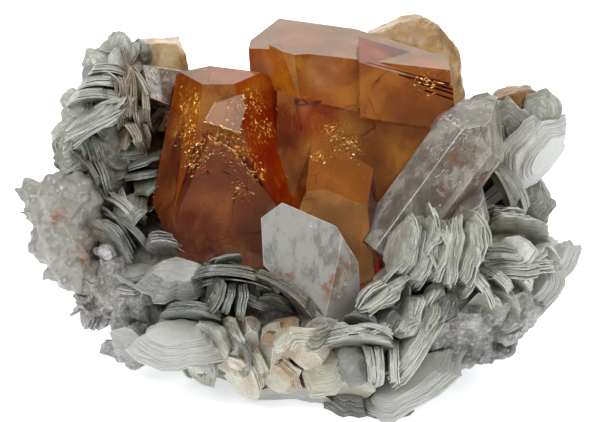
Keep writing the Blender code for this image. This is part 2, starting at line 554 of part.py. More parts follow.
def back_blades():
    """Rows of blades round the back and the sides, which flare out and up like petals."""
    draw = random.Random(SEED)
    for height, wide, deep, start, end, count in BACK_ROWS:
        for step in range(count):
            angle = radians(start + (end - start) * (step + 0.5) / count + draw.uniform(-5, 5))
            out = Vector((cos(angle), sin(angle), 0))
            flare = radians(draw.uniform(-5, 60))
            rise = out * cos(flare) + Vector((0, 0, sin(flare)))
            level = out.cross(Vector((0, 0, 1)))
            roll = radians(draw.uniform(-35, 35))
            spread = level * cos(roll) + level.cross(rise) * sin(roll)
            centre = Vector((wide * cos(angle), deep * sin(angle), height + draw.uniform(-2, 2)))
            yield (
                centre - out * 2,
                spread * draw.uniform(5.5, 8),
                rise * draw.uniform(5, 6.5),
                rise.cross(spread) * draw.uniform(1.5, 2.3),
                draw.uniform(0, pi),
            )


def main():
    clear_scene()
    parts = make_collection("scheelite_specimen")
    orange = make_material("scheelite", (0.52, 0.13, 0.02), 0.15, 0.5, 1.92)
    amber = make_material("pale_scheelite", (0.62, 0.33, 0.12), 0.35, 0.3, 1.92)
    clear = make_material("quartz", (0.75, 0.74, 0.72), 0.1, 0.8, 1.54)
    milky = make_material("milky_quartz", (0.62, 0.6, 0.55), 0.4, 0.2, 1.54)
    silver = make_material("muscovite", (0.42, 0.43, 0.37), 0.4, 0.0, 1.58)

    pieces = {
        "scheelite_pair": (orange, [front_block, front_slab, front_facet, upper_block,
                                    upper_rib, right_ledge, lower_block, corner_block]),
        "scheelite_back": (amber, [back_scheelite]),
        "scheelite_small_left": (amber, [left_scheelite]),
        "scheelite_small_right": (amber, [right_scheelite]),
        "quartz_tall": (clear, [tall_quartz]),
        "quartz_small_right": (clear, [small_quartz]),
        "quartz_front": (clear, [front_quartz]),
        "quartz_smoky_left": (clear, [smoky_quartz]),
        "quartz_low_front": (milky, [low_quartz, low_quartz_side]),
        "quartz_cluster_left": (milky, [pale_knob(n) for n in range(len(PALE_KNOBS))]
                                + [pale_finger(n) for n in range(len(PALE_FINGERS))]),
    }
    cutters = make_collection("crystal_cutters", hidden=True)
    for name, (material, shapes) in pieces.items():
        add_crystal(name, shapes, parts, material)
        own_cutters = make_collection(name + "_cutters", hidden=True, inside=cutters)
        for number, shape in enumerate(shapes):
            add_object(f"{name}_cutter_{number}", shape(GAP), own_cutters)
    for name, neighbours in MAKES_ROOM_FOR.items():
        for neighbour in neighbours:
            join(bpy.data.objects[name], bpy.data.collections[neighbour + "_cutters"], "DIFFERENCE")

    below = bmesh.new()
    bmesh.ops.create_cube(below, size=1, matrix=Matrix.Translation((0, 0, -0.5)))
    add_object("below_the_rest", below, cutters)
    blades = make_collection("muscovite_blades", hidden=True)
    muscovite_bowl(blades, cutters, parts, silver)


main()
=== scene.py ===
# %% [markdown]
# # A scheelite specimen: the looks
# Orange scheelite crystals stand with clear quartz in a bowl of muscovite mica. The solids come
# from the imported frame. This lesson gives each of them its finish: thin mica leaves in place of
# plain plates, cracked and layered scheelite, and quartz that light goes through.

import json
import random
from math import cos, pi, radians, sin

import bmesh
import bpy
from mathutils import Matrix, Vector, noise
from mathutils.bvhtree import BVHTree

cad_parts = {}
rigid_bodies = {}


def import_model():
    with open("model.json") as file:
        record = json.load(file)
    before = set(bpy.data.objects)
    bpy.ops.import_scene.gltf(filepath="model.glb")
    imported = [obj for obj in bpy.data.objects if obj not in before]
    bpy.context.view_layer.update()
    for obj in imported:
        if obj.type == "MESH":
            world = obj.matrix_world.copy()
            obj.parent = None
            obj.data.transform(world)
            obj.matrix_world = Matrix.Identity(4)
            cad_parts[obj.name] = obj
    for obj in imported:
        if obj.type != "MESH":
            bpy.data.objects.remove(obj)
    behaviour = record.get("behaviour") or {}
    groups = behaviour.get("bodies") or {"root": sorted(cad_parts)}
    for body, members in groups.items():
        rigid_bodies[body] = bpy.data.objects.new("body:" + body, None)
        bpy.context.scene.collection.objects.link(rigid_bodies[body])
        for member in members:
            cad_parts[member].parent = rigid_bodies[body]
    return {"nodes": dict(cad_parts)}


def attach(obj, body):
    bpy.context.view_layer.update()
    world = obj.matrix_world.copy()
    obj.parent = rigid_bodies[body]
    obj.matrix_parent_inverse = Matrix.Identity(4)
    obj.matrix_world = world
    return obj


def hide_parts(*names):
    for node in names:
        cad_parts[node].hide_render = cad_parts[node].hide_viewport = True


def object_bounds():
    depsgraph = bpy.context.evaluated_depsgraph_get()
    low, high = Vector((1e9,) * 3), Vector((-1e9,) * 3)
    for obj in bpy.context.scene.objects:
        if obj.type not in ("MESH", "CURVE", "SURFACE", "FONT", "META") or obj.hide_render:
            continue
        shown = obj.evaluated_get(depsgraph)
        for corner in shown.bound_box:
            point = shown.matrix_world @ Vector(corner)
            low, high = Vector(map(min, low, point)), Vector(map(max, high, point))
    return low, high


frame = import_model()
cad_low, cad_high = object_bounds()
MM = 0.001
print("frame:", len(frame["nodes"]), "nodes,", [round(1000 * side) for side in cad_high - cad_low], "mm")

# %% [markdown]
# ## Camera
# The display side faces -Y and leans back, so the camera looks down at it by the same angle that
# the blades of the mica are laid out on. Three directions describe that side from here on: across
# it, up along it, and out of it towards the viewer.

# %% Camera
DISPLAY_TILT = radians(22)
CAMERA_DISTANCE = 0.5
CAMERA_AIM = Vector((0, 0, 0.0277))
CAMERA_LENS = 169.2
SENSOR_WIDTH = 36
ACROSS = Vector((1, 0, 0))
UPWARD = Vector((0, sin(DISPLAY_TILT), cos(DISPLAY_TILT)))
OUTWARD = Vector((0, -cos(DISPLAY_TILT), sin(DISPLAY_TILT)))

camera_data = bpy.data.cameras.new("display_camera")
camera_data.sensor_width = SENSOR_WIDTH
camera_data.lens = CAMERA_LENS
camera_data.clip_start = 0.01
camera = bpy.data.objects.new("display_camera", camera_data)
camera.location = CAMERA_AIM + OUTWARD * CAMERA_DISTANCE
camera.rotation_euler = (pi / 2 - DISPLAY_TILT, 0, 0)
bpy.context.scene.collection.objects.link(camera)
bpy.context.scene.camera = camera
bpy.context.scene.view_settings.view_transform = "Standard"
print("camera at", [round(value, 3) for value in camera.location])

# %% [markdown]
# ## Helpers for the finishes
# Every finish is a small tree of shader nodes. Wiring each tree by hand takes many lines, so a few
# helpers add one node each and hand back the socket that the next one needs. The first group
# handles numbers and colours.


# %% Numbers and colours
def add_node(tree, kind, inputs=None, **settings):
    """One shader node; inputs holds plain values or sockets to link from."""
    node = tree.nodes.new(kind)
    for name, value in settings.items():
        setattr(node, name, value)
    for name, value in (inputs or {}).items():
        if isinstance(value, bpy.types.NodeSocket):
            tree.links.new(value, node.inputs[name])
        else:
            node.inputs[name].default_value = value
    return node


def colour_ramp(tree, factor, *stops):
    """A ramp through stops of (place, colour), with the colours in linear RGB."""
    node = add_node(tree, "ShaderNodeValToRGB", {"Fac": factor})
    places = node.color_ramp.elements
    while len(places) < len(stops):
        places.new(0.5)
    for element, (place, colour) in zip(places, stops):
        element.position = place
        element.color = (*colour, 1)
    return node.outputs["Color"]


def fade(tree, value, low, high, start=0.0, end=1.0):
    """Maps low..high smoothly to start..end."""
    node = add_node(tree, "ShaderNodeMapRange", {
        "Value": value, "From Min": low, "From Max": high, "To Min": start, "To Max": end,
    }, interpolation_type="SMOOTHSTEP")
    return node.outputs["Result"]


def blend_colours(tree, factor, first, second, blend_type="MIX"):
    """Mixes two colours, each a socket or linear RGB."""
    node = add_node(tree, "ShaderNodeMix", data_type="RGBA", blend_type=blend_type)
    for socket, value in (("Factor_Float", factor), ("A_Color", first), ("B_Color", second)):
        plug = next(entry for entry in node.inputs if entry.identifier == socket)
        if isinstance(value, bpy.types.NodeSocket):
            tree.links.new(value, plug)
        else:
            plug.default_value = value if socket == "Factor_Float" else (*value, 1)
    return next(entry for entry in node.outputs if entry.identifier == "Result_Color")


def calculate(tree, operation, first, second=0.0, clamp=False):
    """One step of arithmetic on sockets or plain numbers."""
    node = add_node(tree, "ShaderNodeMath", {0: first, 1: second}, operation=operation)
    node.use_clamp = clamp
    return node.outputs["Value"]


def multiply(tree, first, second):
    """The product of two numbers, each a socket or plain."""
    return calculate(tree, "MULTIPLY", first, second)


print("helpers: add_node, colour_ramp, fade, blend_colours, calculate, multiply")

# %% [markdown]
# ## Helpers for patterns
# Patterns read the piece's own Object coordinates, so they stay on it in every view. Stretching
# the coordinates turns round grains into fibres. A zone is a soft ball in which something shows,
# which is how a stain or a veil gets its place in a crystal.


# %% Patterns and bumps
def stretched(tree, scale=(1, 1, 1), turn=(0, 0, 0)):
    """The piece's own coordinates, scaled and turned for a pattern."""
    place = add_node(tree, "ShaderNodeTexCoord").outputs["Object"]
    node = add_node(tree, "ShaderNodeMapping", {"Vector": place, "Scale": scale, "Rotation": turn})
    return node.outputs["Vector"]


def scaled(tree, vector, scale):
    """A vector multiplied part by part."""
    node = add_node(tree, "ShaderNodeVectorMath", {0: vector, 1: scale}, operation="MULTIPLY")
    return node.outputs["Vector"]


def stored(tree, name, output="Fac"):
    """A value that is stored in the mesh."""
    return add_node(tree, "ShaderNodeAttribute", attribute_name=name).outputs[output]


def grain(tree, vector, size, detail=3.0, roughness=0.55, distortion=0.0):
    """Noise with blotches of about that size in metres, from 0 to 1."""
    node = add_node(tree, "ShaderNodeTexNoise", {
        "Vector": vector, "Scale": 1 / size, "Detail": detail, "Roughness": roughness,
        "Distortion": distortion,
    })
    return node.outputs["Fac"]


def zone(tree, centre, radius, soft=0.5):
    """A mask that is 1 round a centre in millimetres and fades to 0 at the radius."""
    place = add_node(tree, "ShaderNodeTexCoord").outputs["Object"]
    away = add_node(tree, "ShaderNodeVectorMath", {0: place, 1: Vector(centre) * MM},
                    operation="DISTANCE").outputs["Value"]
    return fade(tree, away, radius * (1 - soft) * MM, radius * MM, 1.0, 0.0)


def bump(tree, *heights):
    """Bumps one on top of another, each as (height socket, depth in metres)."""
    normal = None
    for height, depth in heights:
        inputs = {"Height": height, "Distance": depth, "Strength": 1.0}
        if normal:
            inputs["Normal"] = normal
        normal = add_node(tree, "ShaderNodeBump", inputs).outputs["Normal"]
    return normal


def start_material(name, **values):
    """A material with a Principled shader and its plain values set on the shader's sockets."""
    material = bpy.data.materials.new(name)
    material.use_nodes = True
    shader = material.node_tree.nodes["Principled BSDF"]
    for socket, value in values.items():
        shader.inputs[socket.replace("_", " ")].default_value = value
    return material, material.node_tree, shader


print("helpers: stretched, scaled, stored, grain, zone, bump, start_material")

# %% [markdown]
# ## Floor and light
# The floor is one pale sheet that runs past the edges of the view. The light is a bright tent of
# sky with three soft boxes, because mica and crystal need large bright shapes to mirror. The room
# in front stays dim, so that the faces turned to the viewer keep their own colour.

# %% Floor
FLOOR_HALF = 6.0
FLOOR_DROP = 0.00005
FLOOR_GLOW = 0.6
PAPER_COOL, PAPER_WARM = (0.93, 0.945, 0.96), (0.96, 0.965, 0.97)


def pale_floor():
    """A wide pale light table just under the specimen."""
    bm = bmesh.new()
    bmesh.ops.create_grid(bm, x_segments=2, y_segments=2, size=FLOOR_HALF,
                          matrix=Matrix.Translation((0, 0, -FLOOR_DROP)))
    mesh = bpy.data.meshes.new("floor")
    bm.to_mesh(mesh)
    bm.free()
    floor = bpy.data.objects.new("floor", mesh)
    bpy.context.scene.collection.objects.link(floor)
    material, tree, shader = start_material(
        "floor_paper", Roughness=0.9, Specular_IOR_Level=0.1, Emission_Color=(0.95, 0.975, 1.0, 1),
        Emission_Strength=FLOOR_GLOW)
    paper = colour_ramp(tree, grain(tree, stretched(tree), 0.4), (0.3, PAPER_COOL), (0.7, PAPER_WARM))
    tree.links.new(paper, shader.inputs["Base Color"])
    mesh.materials.append(material)


pale_floor()
print("floor:", 2 * FLOOR_HALF, "m wide")

# %% Sky and soft boxes
ROOM_COLOUR = (0.05, 0.05, 0.055)
TENT_COLOUR = (0.97, 0.985, 1.0)
# Each row is a place in metres, the side of the box and its power.
SOFTBOXES = {
    "softbox_back": ((0.22, 0.25, 0.62), 0.4, 1.6),
    "softbox_left": ((-0.4, -0.42, 0.45), 0.25, 1.4),
    "softbox_right": ((0.42, -0.4, 0.4), 0.3, 0.9),
}


def softbox(name, place, size, power):
    """A square area light that faces the specimen."""
    data = bpy.data.lights.new(name, "AREA")
    data.shape = "SQUARE"
    data.size = size
    data.energy = power
    light = bpy.data.objects.new(name, data)
    light.location = place
    light.rotation_euler = (CAMERA_AIM - Vector(place)).to_track_quat("-Z", "Y").to_euler()
    bpy.context.scene.collection.objects.link(light)


def studio_sky():
    """A bright tent overhead and behind, and a dim room in front, where the camera stands."""
    world = bpy.data.worlds.new("studio_sky")
    world.use_nodes = True
    tree = world.node_tree
    background = tree.nodes["Background"]
    direction = add_node(tree, "ShaderNodeTexCoord").outputs["Generated"]
    parts = add_node(tree, "ShaderNodeSeparateXYZ", {"Vector": direction}).outputs
    overhead = fade(tree, parts["Z"], 0.42, 0.72)
    behind = fade(tree, parts["Y"], 0.0, 0.5)
    tent = calculate(tree, "MAXIMUM", overhead, behind)
    tree.links.new(blend_colours(tree, tent, ROOM_COLOUR, TENT_COLOUR), background.inputs["Color"])
    bpy.context.scene.world = world


studio_sky()
for name, row in SOFTBOXES.items():
    softbox(name, *row)
print("light: sky and", len(bpy.data.lights), "soft boxes")

# %% [markdown]
# ## Muscovite finish
# Muscovite splits into leaves, so a book of it shows fine lines on its edge and a pearly gloss on
# its face. The colour could be painted by hand, but here three values stored in each point do the
# work: its height in the book, which draws the lines, a tone that differs from leaf to leaf, and
# how near the point is to a crystal, where the mica is stained brown.

# %% Muscovite material
MICA_IOR = 1.58
LEAF_LINE = 0.00016
RIM_HIGHLIGHT_SHARE = 0.75
PAINTED_SPARKLE = (0.84, 0.85, 0.82)


def muscovite(name, light, dark, tint, gloss=0.3, grit=0.15, rough_depth=0.00004):
    """Mica between a light and a dark tone, with a painted highlight at its rims and stained near the
    crystals.
    """
    material, tree, shader = start_material(name, IOR=MICA_IOR, Coat_Weight=0.3, Coat_Roughness=0.12)
    tone, near, rim = (stored(tree, entry) for entry in ("tone", "stained", "rim"))
    flat = stored(tree, "flat", "Vector")
    place = stretched(tree)

    blotches = grain(tree, place, 0.005, 5.0, 0.6)
    shade = calculate(tree, "ADD", blotches, multiply(tree, tone, 0.5))
    base = colour_ramp(tree, fade(tree, shade, 0.45, 1.05), (0.0, dark), (1.0, light))
    # The rims are blended towards the light tone: a painted highlight.
    base = blend_colours(tree, multiply(tree, rim, RIM_HIGHLIGHT_SHARE), base, light)

    lines = grain(tree, scaled(tree, flat, (0.04, 0.04, 1)), LEAF_LINE, 2.0, 0.7)
    fibres = grain(tree, scaled(tree, flat, (0.12, 1, 1)), 0.0005, 3.0, 0.65)
    worn = calculate(tree, "MAXIMUM", fade(tree, lines, 0.4, 0.6, 0.55, 0.0),
                     fade(tree, fibres, 0.36, 0.56, 0.5, 0.0))
    lined = blend_colours(tree, worn, base, dark)

    rusty = multiply(tree, near, fade(tree, grain(tree, place, 0.004, 3.0), 0.38, 0.58))
    coloured = blend_colours(tree, multiply(tree, rusty, 0.85), lined, tint)
    # Fine pale specks are a painted sparkle; the dark specks are grit.
    fine = grain(tree, place, 0.0006, 4.0, 0.7)
    sparkled = blend_colours(tree, fade(tree, fine, 0.5, 0.7, 0.0, grit), coloured, PAINTED_SPARKLE)
    gritty = blend_colours(tree, fade(tree, fine, 0.3, 0.5, grit * 1.5, 0.0), sparkled, dark)
    tree.links.new(gritty, shader.inputs["Base Color"])

    tree.links.new(fade(tree, fibres, 0.3, 0.7, gloss - 0.1, gloss + 0.2), shader.inputs["Roughness"])
    waves = grain(tree, place, 0.003, 2.0)
    tree.links.new(bump(tree, (waves, 0.0003), (fibres, 0.00006), (lines, 0.00006), (fine, rough_depth)),
                   shader.inputs["Normal"])
    return material


print("muscovite: leaf lines", round(1e6 * LEAF_LINE), "micrometres wide")

# %% [markdown]
# ## The finishes of the mica
# Fresh books are silvery green. Books in the shade of others are slate, broad clean faces are pale
# or grey, weathered ones are rough, and those that grew by the iron-stained quartz are yellowish
# or rusty. Each finish is a light and a dark tone and the colour of its stain.

# %% Muscovite finishes
SILVER = muscovite("muscovite_silver", (0.62, 0.635, 0.563), (0.18, 0.178, 0.135), (0.11, 0.07, 0.03))
GREY = muscovite("muscovite_grey", (0.37, 0.37, 0.353), (0.22, 0.215, 0.19), (0.20, 0.15, 0.09), 0.35)
PALE = muscovite("muscovite_pale", (0.6, 0.605, 0.587), (0.56, 0.56, 0.51), (0.30, 0.24, 0.15), 0.35)
SLATE = muscovite("muscovite_slate", (0.28, 0.295, 0.262), (0.04, 0.044, 0.036), (0.13, 0.085, 0.035), 0.28)
ROUGH = muscovite("muscovite_rough", (0.56, 0.55, 0.53), (0.17, 0.162, 0.15), (0.14, 0.095, 0.055), 0.45,
                  0.5, 0.00025)
RUSTY = muscovite("muscovite_rusty", (0.50, 0.46, 0.36), (0.12, 0.075, 0.03), (0.16, 0.09, 0.03), 0.3)
STAINED = muscovite("muscovite_yellowish", (0.74, 0.74, 0.65), (0.36, 0.335, 0.24), (0.34, 0.19, 0.07), 0.35)
# The core's dark tones are partly the massive mica's own colour and partly painted shade for the deep gaps
# between the books.
CORE = muscovite("muscovite_core", (0.30, 0.29, 0.245), (0.06, 0.055, 0.04), (0.05, 0.028, 0.012), 0.5,
                 0.2, 0.0003)
print("muscovite finishes:", sum("muscovite_" in material.name for material in bpy.data.materials))

# %% [markdown]
# ## Keeping clear of the crystals
# A leaf that grew against a crystal stops at its face. A Boolean could cut every leaf, but there
# are hundreds of them. Each point that falls inside a crystal is moved out to its face instead,
# and a leaf that is buried deep is left out.

# %% Distance to the crystals
LEAF_GAP = 0.12 * MM
DEEPEST_PUSH = 1.6 * MM
STAIN_REACH = 8 * MM
SEARCH_REACH = 9 * MM
PROBE = Vector((0.31, 0.42, 0.85)).normalized()
PROBE_STEP = 1e-6
SAME_POINT = 1e-6


def merged(node):
    """A copy of a solid's mesh with its loose triangles joined."""
    bm = bmesh.new()
    bm.from_mesh(frame["nodes"][node].data)
    bmesh.ops.remove_doubles(bm, verts=bm.verts[:], dist=SAME_POINT)
    return bm


def surface_of(node):
    """A search tree of a solid's faces."""
    bm = merged(node)
    tree = BVHTree.FromBMesh(bm)
    bm.free()
    return tree


crystal_surfaces = {node: surface_of(node) for node in frame["nodes"] if node != "muscovite_matrix"}


def is_inside(surface, point):
    """Whether a ray from the point leaves a closed surface an odd number of times."""
    crossings, found = 0, point
    while True:
        found = surface.ray_cast(found + PROBE * PROBE_STEP, PROBE)[0]
        if found is None:
            return crossings % 2 == 1
        crossings += 1


def nearest_crystal(point):
    """Distance, face normal and face point of the nearest crystal; the distance inside is negative."""
    best = (SEARCH_REACH, None, None)
    for surface in crystal_surfaces.values():
        found, normal, _, away = surface.find_nearest(point, SEARCH_REACH)
        if found is None:
            continue
        if (point - found).dot(normal) < 0 and is_inside(surface, point):
            away = -away
        if away < best[0]:
            best = (away, normal, found)
    return best


print("crystals that the leaves keep clear of:", len(crystal_surfaces))

# %% [markdown]
# ## A leaf
# One leaf is a ragged six-sided sheet. It could be a flat polygon, but then it couldn't bend. It
# starts as a circle with a fan of triangles, whose spokes are cut once to give it a ring that can
# bend, and an extrusion gives it its thickness.

# %% Leaf
LEAF_THICKNESS = 0.24
DRAW = random.Random(5)


def book_outline(segments):
    """The radius at each corner of a six-sided outline with wide uneven lobes."""
    phase = DRAW.uniform(0, pi / 3)
    waves = [(count, DRAW.uniform(0, 2 * pi), DRAW.uniform(0, 0.09)) for count in (1, 2, 3, 5, 7)]
    radii = []
    for number in range(segments):
        angle = 2 * pi * number / segments
        flat = 1.05 * cos(pi / 6) / cos((angle + phase) % (pi / 3) - pi / 6)
        lobes = sum(depth * cos(count * angle + start) for count, start, depth in waves)
        radii.append((0.25 + 0.75 * flat) * (1 + lobes))
    return radii


def leaf(radii, ragged):
    """A sheet about two units across and one thick, round the origin."""
    bm = bmesh.new()
    segments = len(radii)
    bmesh.ops.create_circle(bm, cap_ends=True, cap_tris=True, segments=segments, radius=1)
    for corner in bm.verts:
        if corner.co.length > 0.5:
            number = round(Vector((1, 0)).angle_signed(corner.co.xy) / (2 * pi) * segments) % segments
            corner.co *= radii[number] * (1 + DRAW.uniform(-ragged, ragged))
    spokes = [edge for edge in bm.edges if min(vert.co.length for vert in edge.verts) < 0.01]
    bmesh.ops.subdivide_edges(bm, edges=spokes, cuts=1)
    sheet = bmesh.ops.extrude_face_region(bm, geom=bm.faces[:])
    top = [part for part in sheet["geom"] if isinstance(part, bmesh.types.BMVert)]
    bmesh.ops.translate(bm, verts=top, vec=(0, 0, 1))
    bmesh.ops.translate(bm, verts=bm.verts[:], vec=(0, 0, -0.5))
    bmesh.ops.recalc_face_normals(bm, faces=bm.faces[:])
    return bm


print("leaf:", LEAF_THICKNESS, "mm thick")

# %% [markdown]
# ## A leaf among the crystals
# Each leaf is moved out of the crystals before it joins its piece. On the way every point learns
# how near it is to a crystal, for the stain. The stored values need their layers first, and a new
# layer makes the older handles stale, so all of them are made before any is fetched.


# %% Joining a leaf
def mica_layers(bm):
    """Makes the stored values of a muscovite piece: rim, tone, stained and flat."""
    names = ("rim", "tone", "stained")
    for entry in names:
        bm.verts.layers.float.new(entry)
    bm.verts.layers.float_vector.new("flat")
    return [bm.verts.layers.float[entry] for entry in names] + [bm.verts.layers.float_vector["flat"]]


def stain_share(away):
    """How stained the mica is at a distance from the nearest crystal, from 0 to 1."""
    return max(0.0, 1 - max(away, 0.0) / STAIN_REACH)


def add_leaf(piece, bm, stained):
    """Moves a leaf out of the crystals and joins it to its piece, unless it is buried."""
    deepest = 0.0
    for vert in bm.verts:
        away, normal, face = nearest_crystal(vert.co)
        vert[stained] = stain_share(away)
        deepest = min(deepest, away)
        if away < LEAF_GAP:
            vert.co = face + normal * LEAF_GAP
    if deepest > -DEEPEST_PUSH:
        carrier = bpy.data.meshes.new("leaf")
        bm.to_mesh(carrier)
        piece.from_mesh(carrier)
        bpy.data.meshes.remove(carrier)
    bm.free()


print("leaves stop", round(1000 * LEAF_GAP, 2), "mm from a crystal")

# %% [markdown]
# ## A book of leaves
# A book is a stack of leaves with nearly the same outline, each a little turned, shifted and cut
# back, so that the rims make fine steps. That is how real books of mica break. An array of equal
# leaves would be quicker to make, but its edge would be as even as a sawn block.

# %% Place and slant of a leaf
LEAF_TILT = 4


def book_place(centre, along, wide):
    """The matrix from a book's own axes in millimetres to its place, with its face outwards."""
    normal = along.cross(wide).normalized()
    if normal.dot(OUTWARD + UPWARD) < 0:
        normal.negate()
    axes = Matrix((along.normalized(), normal.cross(along.normalized()), normal)).transposed().to_4x4()
    return Matrix.Translation(Vector(centre) * MM) @ Matrix.Scale(MM, 4) @ axes


def leaf_slant(loose):
    """A small random tilt and turn; loose is how much of it is used, from 0 to 1."""
    lift, twist, turn = (radians(loose * DRAW.uniform(-LEAF_TILT, LEAF_TILT)) for _ in range(3))
    return Matrix.Rotation(lift, 4, "X") @ Matrix.Rotation(twist, 4, "Y") @ Matrix.Rotation(turn, 4, "Z")


print("leaves tilt by up to", LEAF_TILT, "degrees")

# %% Book
# Shares of a book's half-axes: where the smaller leaves gather, how far the leaves slide and how
# much smaller one may be.
OFF_CENTRE, LEAF_SLIDE, LEAF_LOSS = 0.4, 0.08, 0.12
LEAF_OVERLAP = 1.05
RIM_START = 0.85
BOOK_TONE_SHARE = 0.6


def book(piece, centre, along, wide, thickness, bend, steps, loose, ragged, segments=20,
         leaf_thickness=LEAF_THICKNESS):
    """Adds a stack of leaves; along and wide are its half-axes and all lengths are millimetres.

    bend is how far the ends fall away from the normal and steps how much smaller the top leaf is,
    both as a share of the half-axes; loose is how far the leaves part, from 0 to 1, and ragged is
    how much each corner of a leaf may stand out.
    """
    place = book_place(centre, along, wide)
    count = max(2, round(thickness / leaf_thickness))
    half_long, half_wide = along.length, wide.length
    book_tone = DRAW.uniform(0, 1)
    radii = book_outline(segments)
    off_centre = Vector((DRAW.uniform(-OFF_CENTRE, OFF_CENTRE) * half_long,
                         DRAW.uniform(-OFF_CENTRE, OFF_CENTRE) * half_wide, 0))
    for number in range(count):
        level = (number + 0.5) / count - 0.5
        bm = leaf(radii, ragged)
        smaller = steps * (level + 0.5)
        shrink = 1 - smaller - loose * DRAW.uniform(0, LEAF_LOSS)
        size = Matrix.Diagonal((half_long * shrink, half_wide * shrink, thickness / count * LEAF_OVERLAP, 1))
        slant = leaf_slant(loose)
        drift = Vector((DRAW.uniform(-1, 1) * half_long, DRAW.uniform(-1, 1) * half_wide, 0))
        drift = drift * LEAF_SLIDE * loose + off_centre * smaller
        shift = Matrix.Translation(drift + Vector((0, 0, level * thickness)))
        rim, tone, stained, flat = mica_layers(bm)
        own_tone = BOOK_TONE_SHARE * book_tone + (1 - BOOK_TONE_SHARE) * DRAW.uniform(0, 1)
        start = Vector([DRAW.uniform(0, 50) for _ in range(3)])
        # The rim value grows towards the leaf's edge and drives the painted highlight there.
        for vert in bm.verts:
            vert[rim] = min(1.0, vert.co.xy.length / RIM_START) ** 3
        bmesh.ops.transform(bm, matrix=shift @ slant @ size, verts=bm.verts[:])
        for vert in bm.verts:
            vert[flat] = (start + vert.co) * MM
            vert[tone] = own_tone
            vert.co.z -= bend * (vert.co.x ** 2 / half_long + 0.6 * vert.co.y ** 2 / half_wide)
        bmesh.ops.transform(bm, matrix=place, verts=bm.verts[:])
        add_leaf(piece, bm, stained)


print("a book 2 mm thick has", round(2 / LEAF_THICKNESS), "leaves")

# %% [markdown]
# ## Finishing a piece
# Every piece ends the same way: it becomes an object at the origin, is shaded smooth up to a sharp
# angle, and is tied to the specimen. The mica pieces and the etched crystals are held inside the
# solid's box first.


# %% Finishing a piece
def stay_in_box(bm):
    """Holds every point inside the solid model's box."""
    for vert in bm.verts:
        for axis in range(3):
            vert.co[axis] = min(max(vert.co[axis], cad_low[axis]), cad_high[axis])


def loose_object(name, bm):
    """A new object with the mesh, which is taken over from the bmesh."""
    mesh = bpy.data.meshes.new(name)
    bm.to_mesh(mesh)
    bm.free()
    made = bpy.data.objects.new(name, mesh)
    bpy.context.scene.collection.objects.link(made)
    return made


def finish_piece(name, bm, material, slot, *nodes, sharp=35):
    """Makes the object, shades it smooth up to a sharp angle and lets it ride on the specimen."""
    piece = loose_object(name, bm)
    mesh = piece.data
    mesh.materials.append(material)
    mesh.shade_smooth()
    mesh.set_sharp_from_angle(angle=radians(sharp))
    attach(piece, "root")
    if nodes:
        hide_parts(*nodes)
    mesh.calc_loop_triangles()
    print(name, len(mesh.loop_triangles), "triangles")


print("pieces stay in a box of", [round(1000 * side, 1) for side in cad_high - cad_low], "mm")

# %% [markdown]
# ## The books of the bowl
# Each row is one book of the solid bowl, given the same way: its centre, length, width and
# thickness in millimetres, the direction of its length on the display side, and how far its face
# leans towards the display side. They are sorted by finish: silver, grey, pale, slate, rough,
# yellowish and rusty.

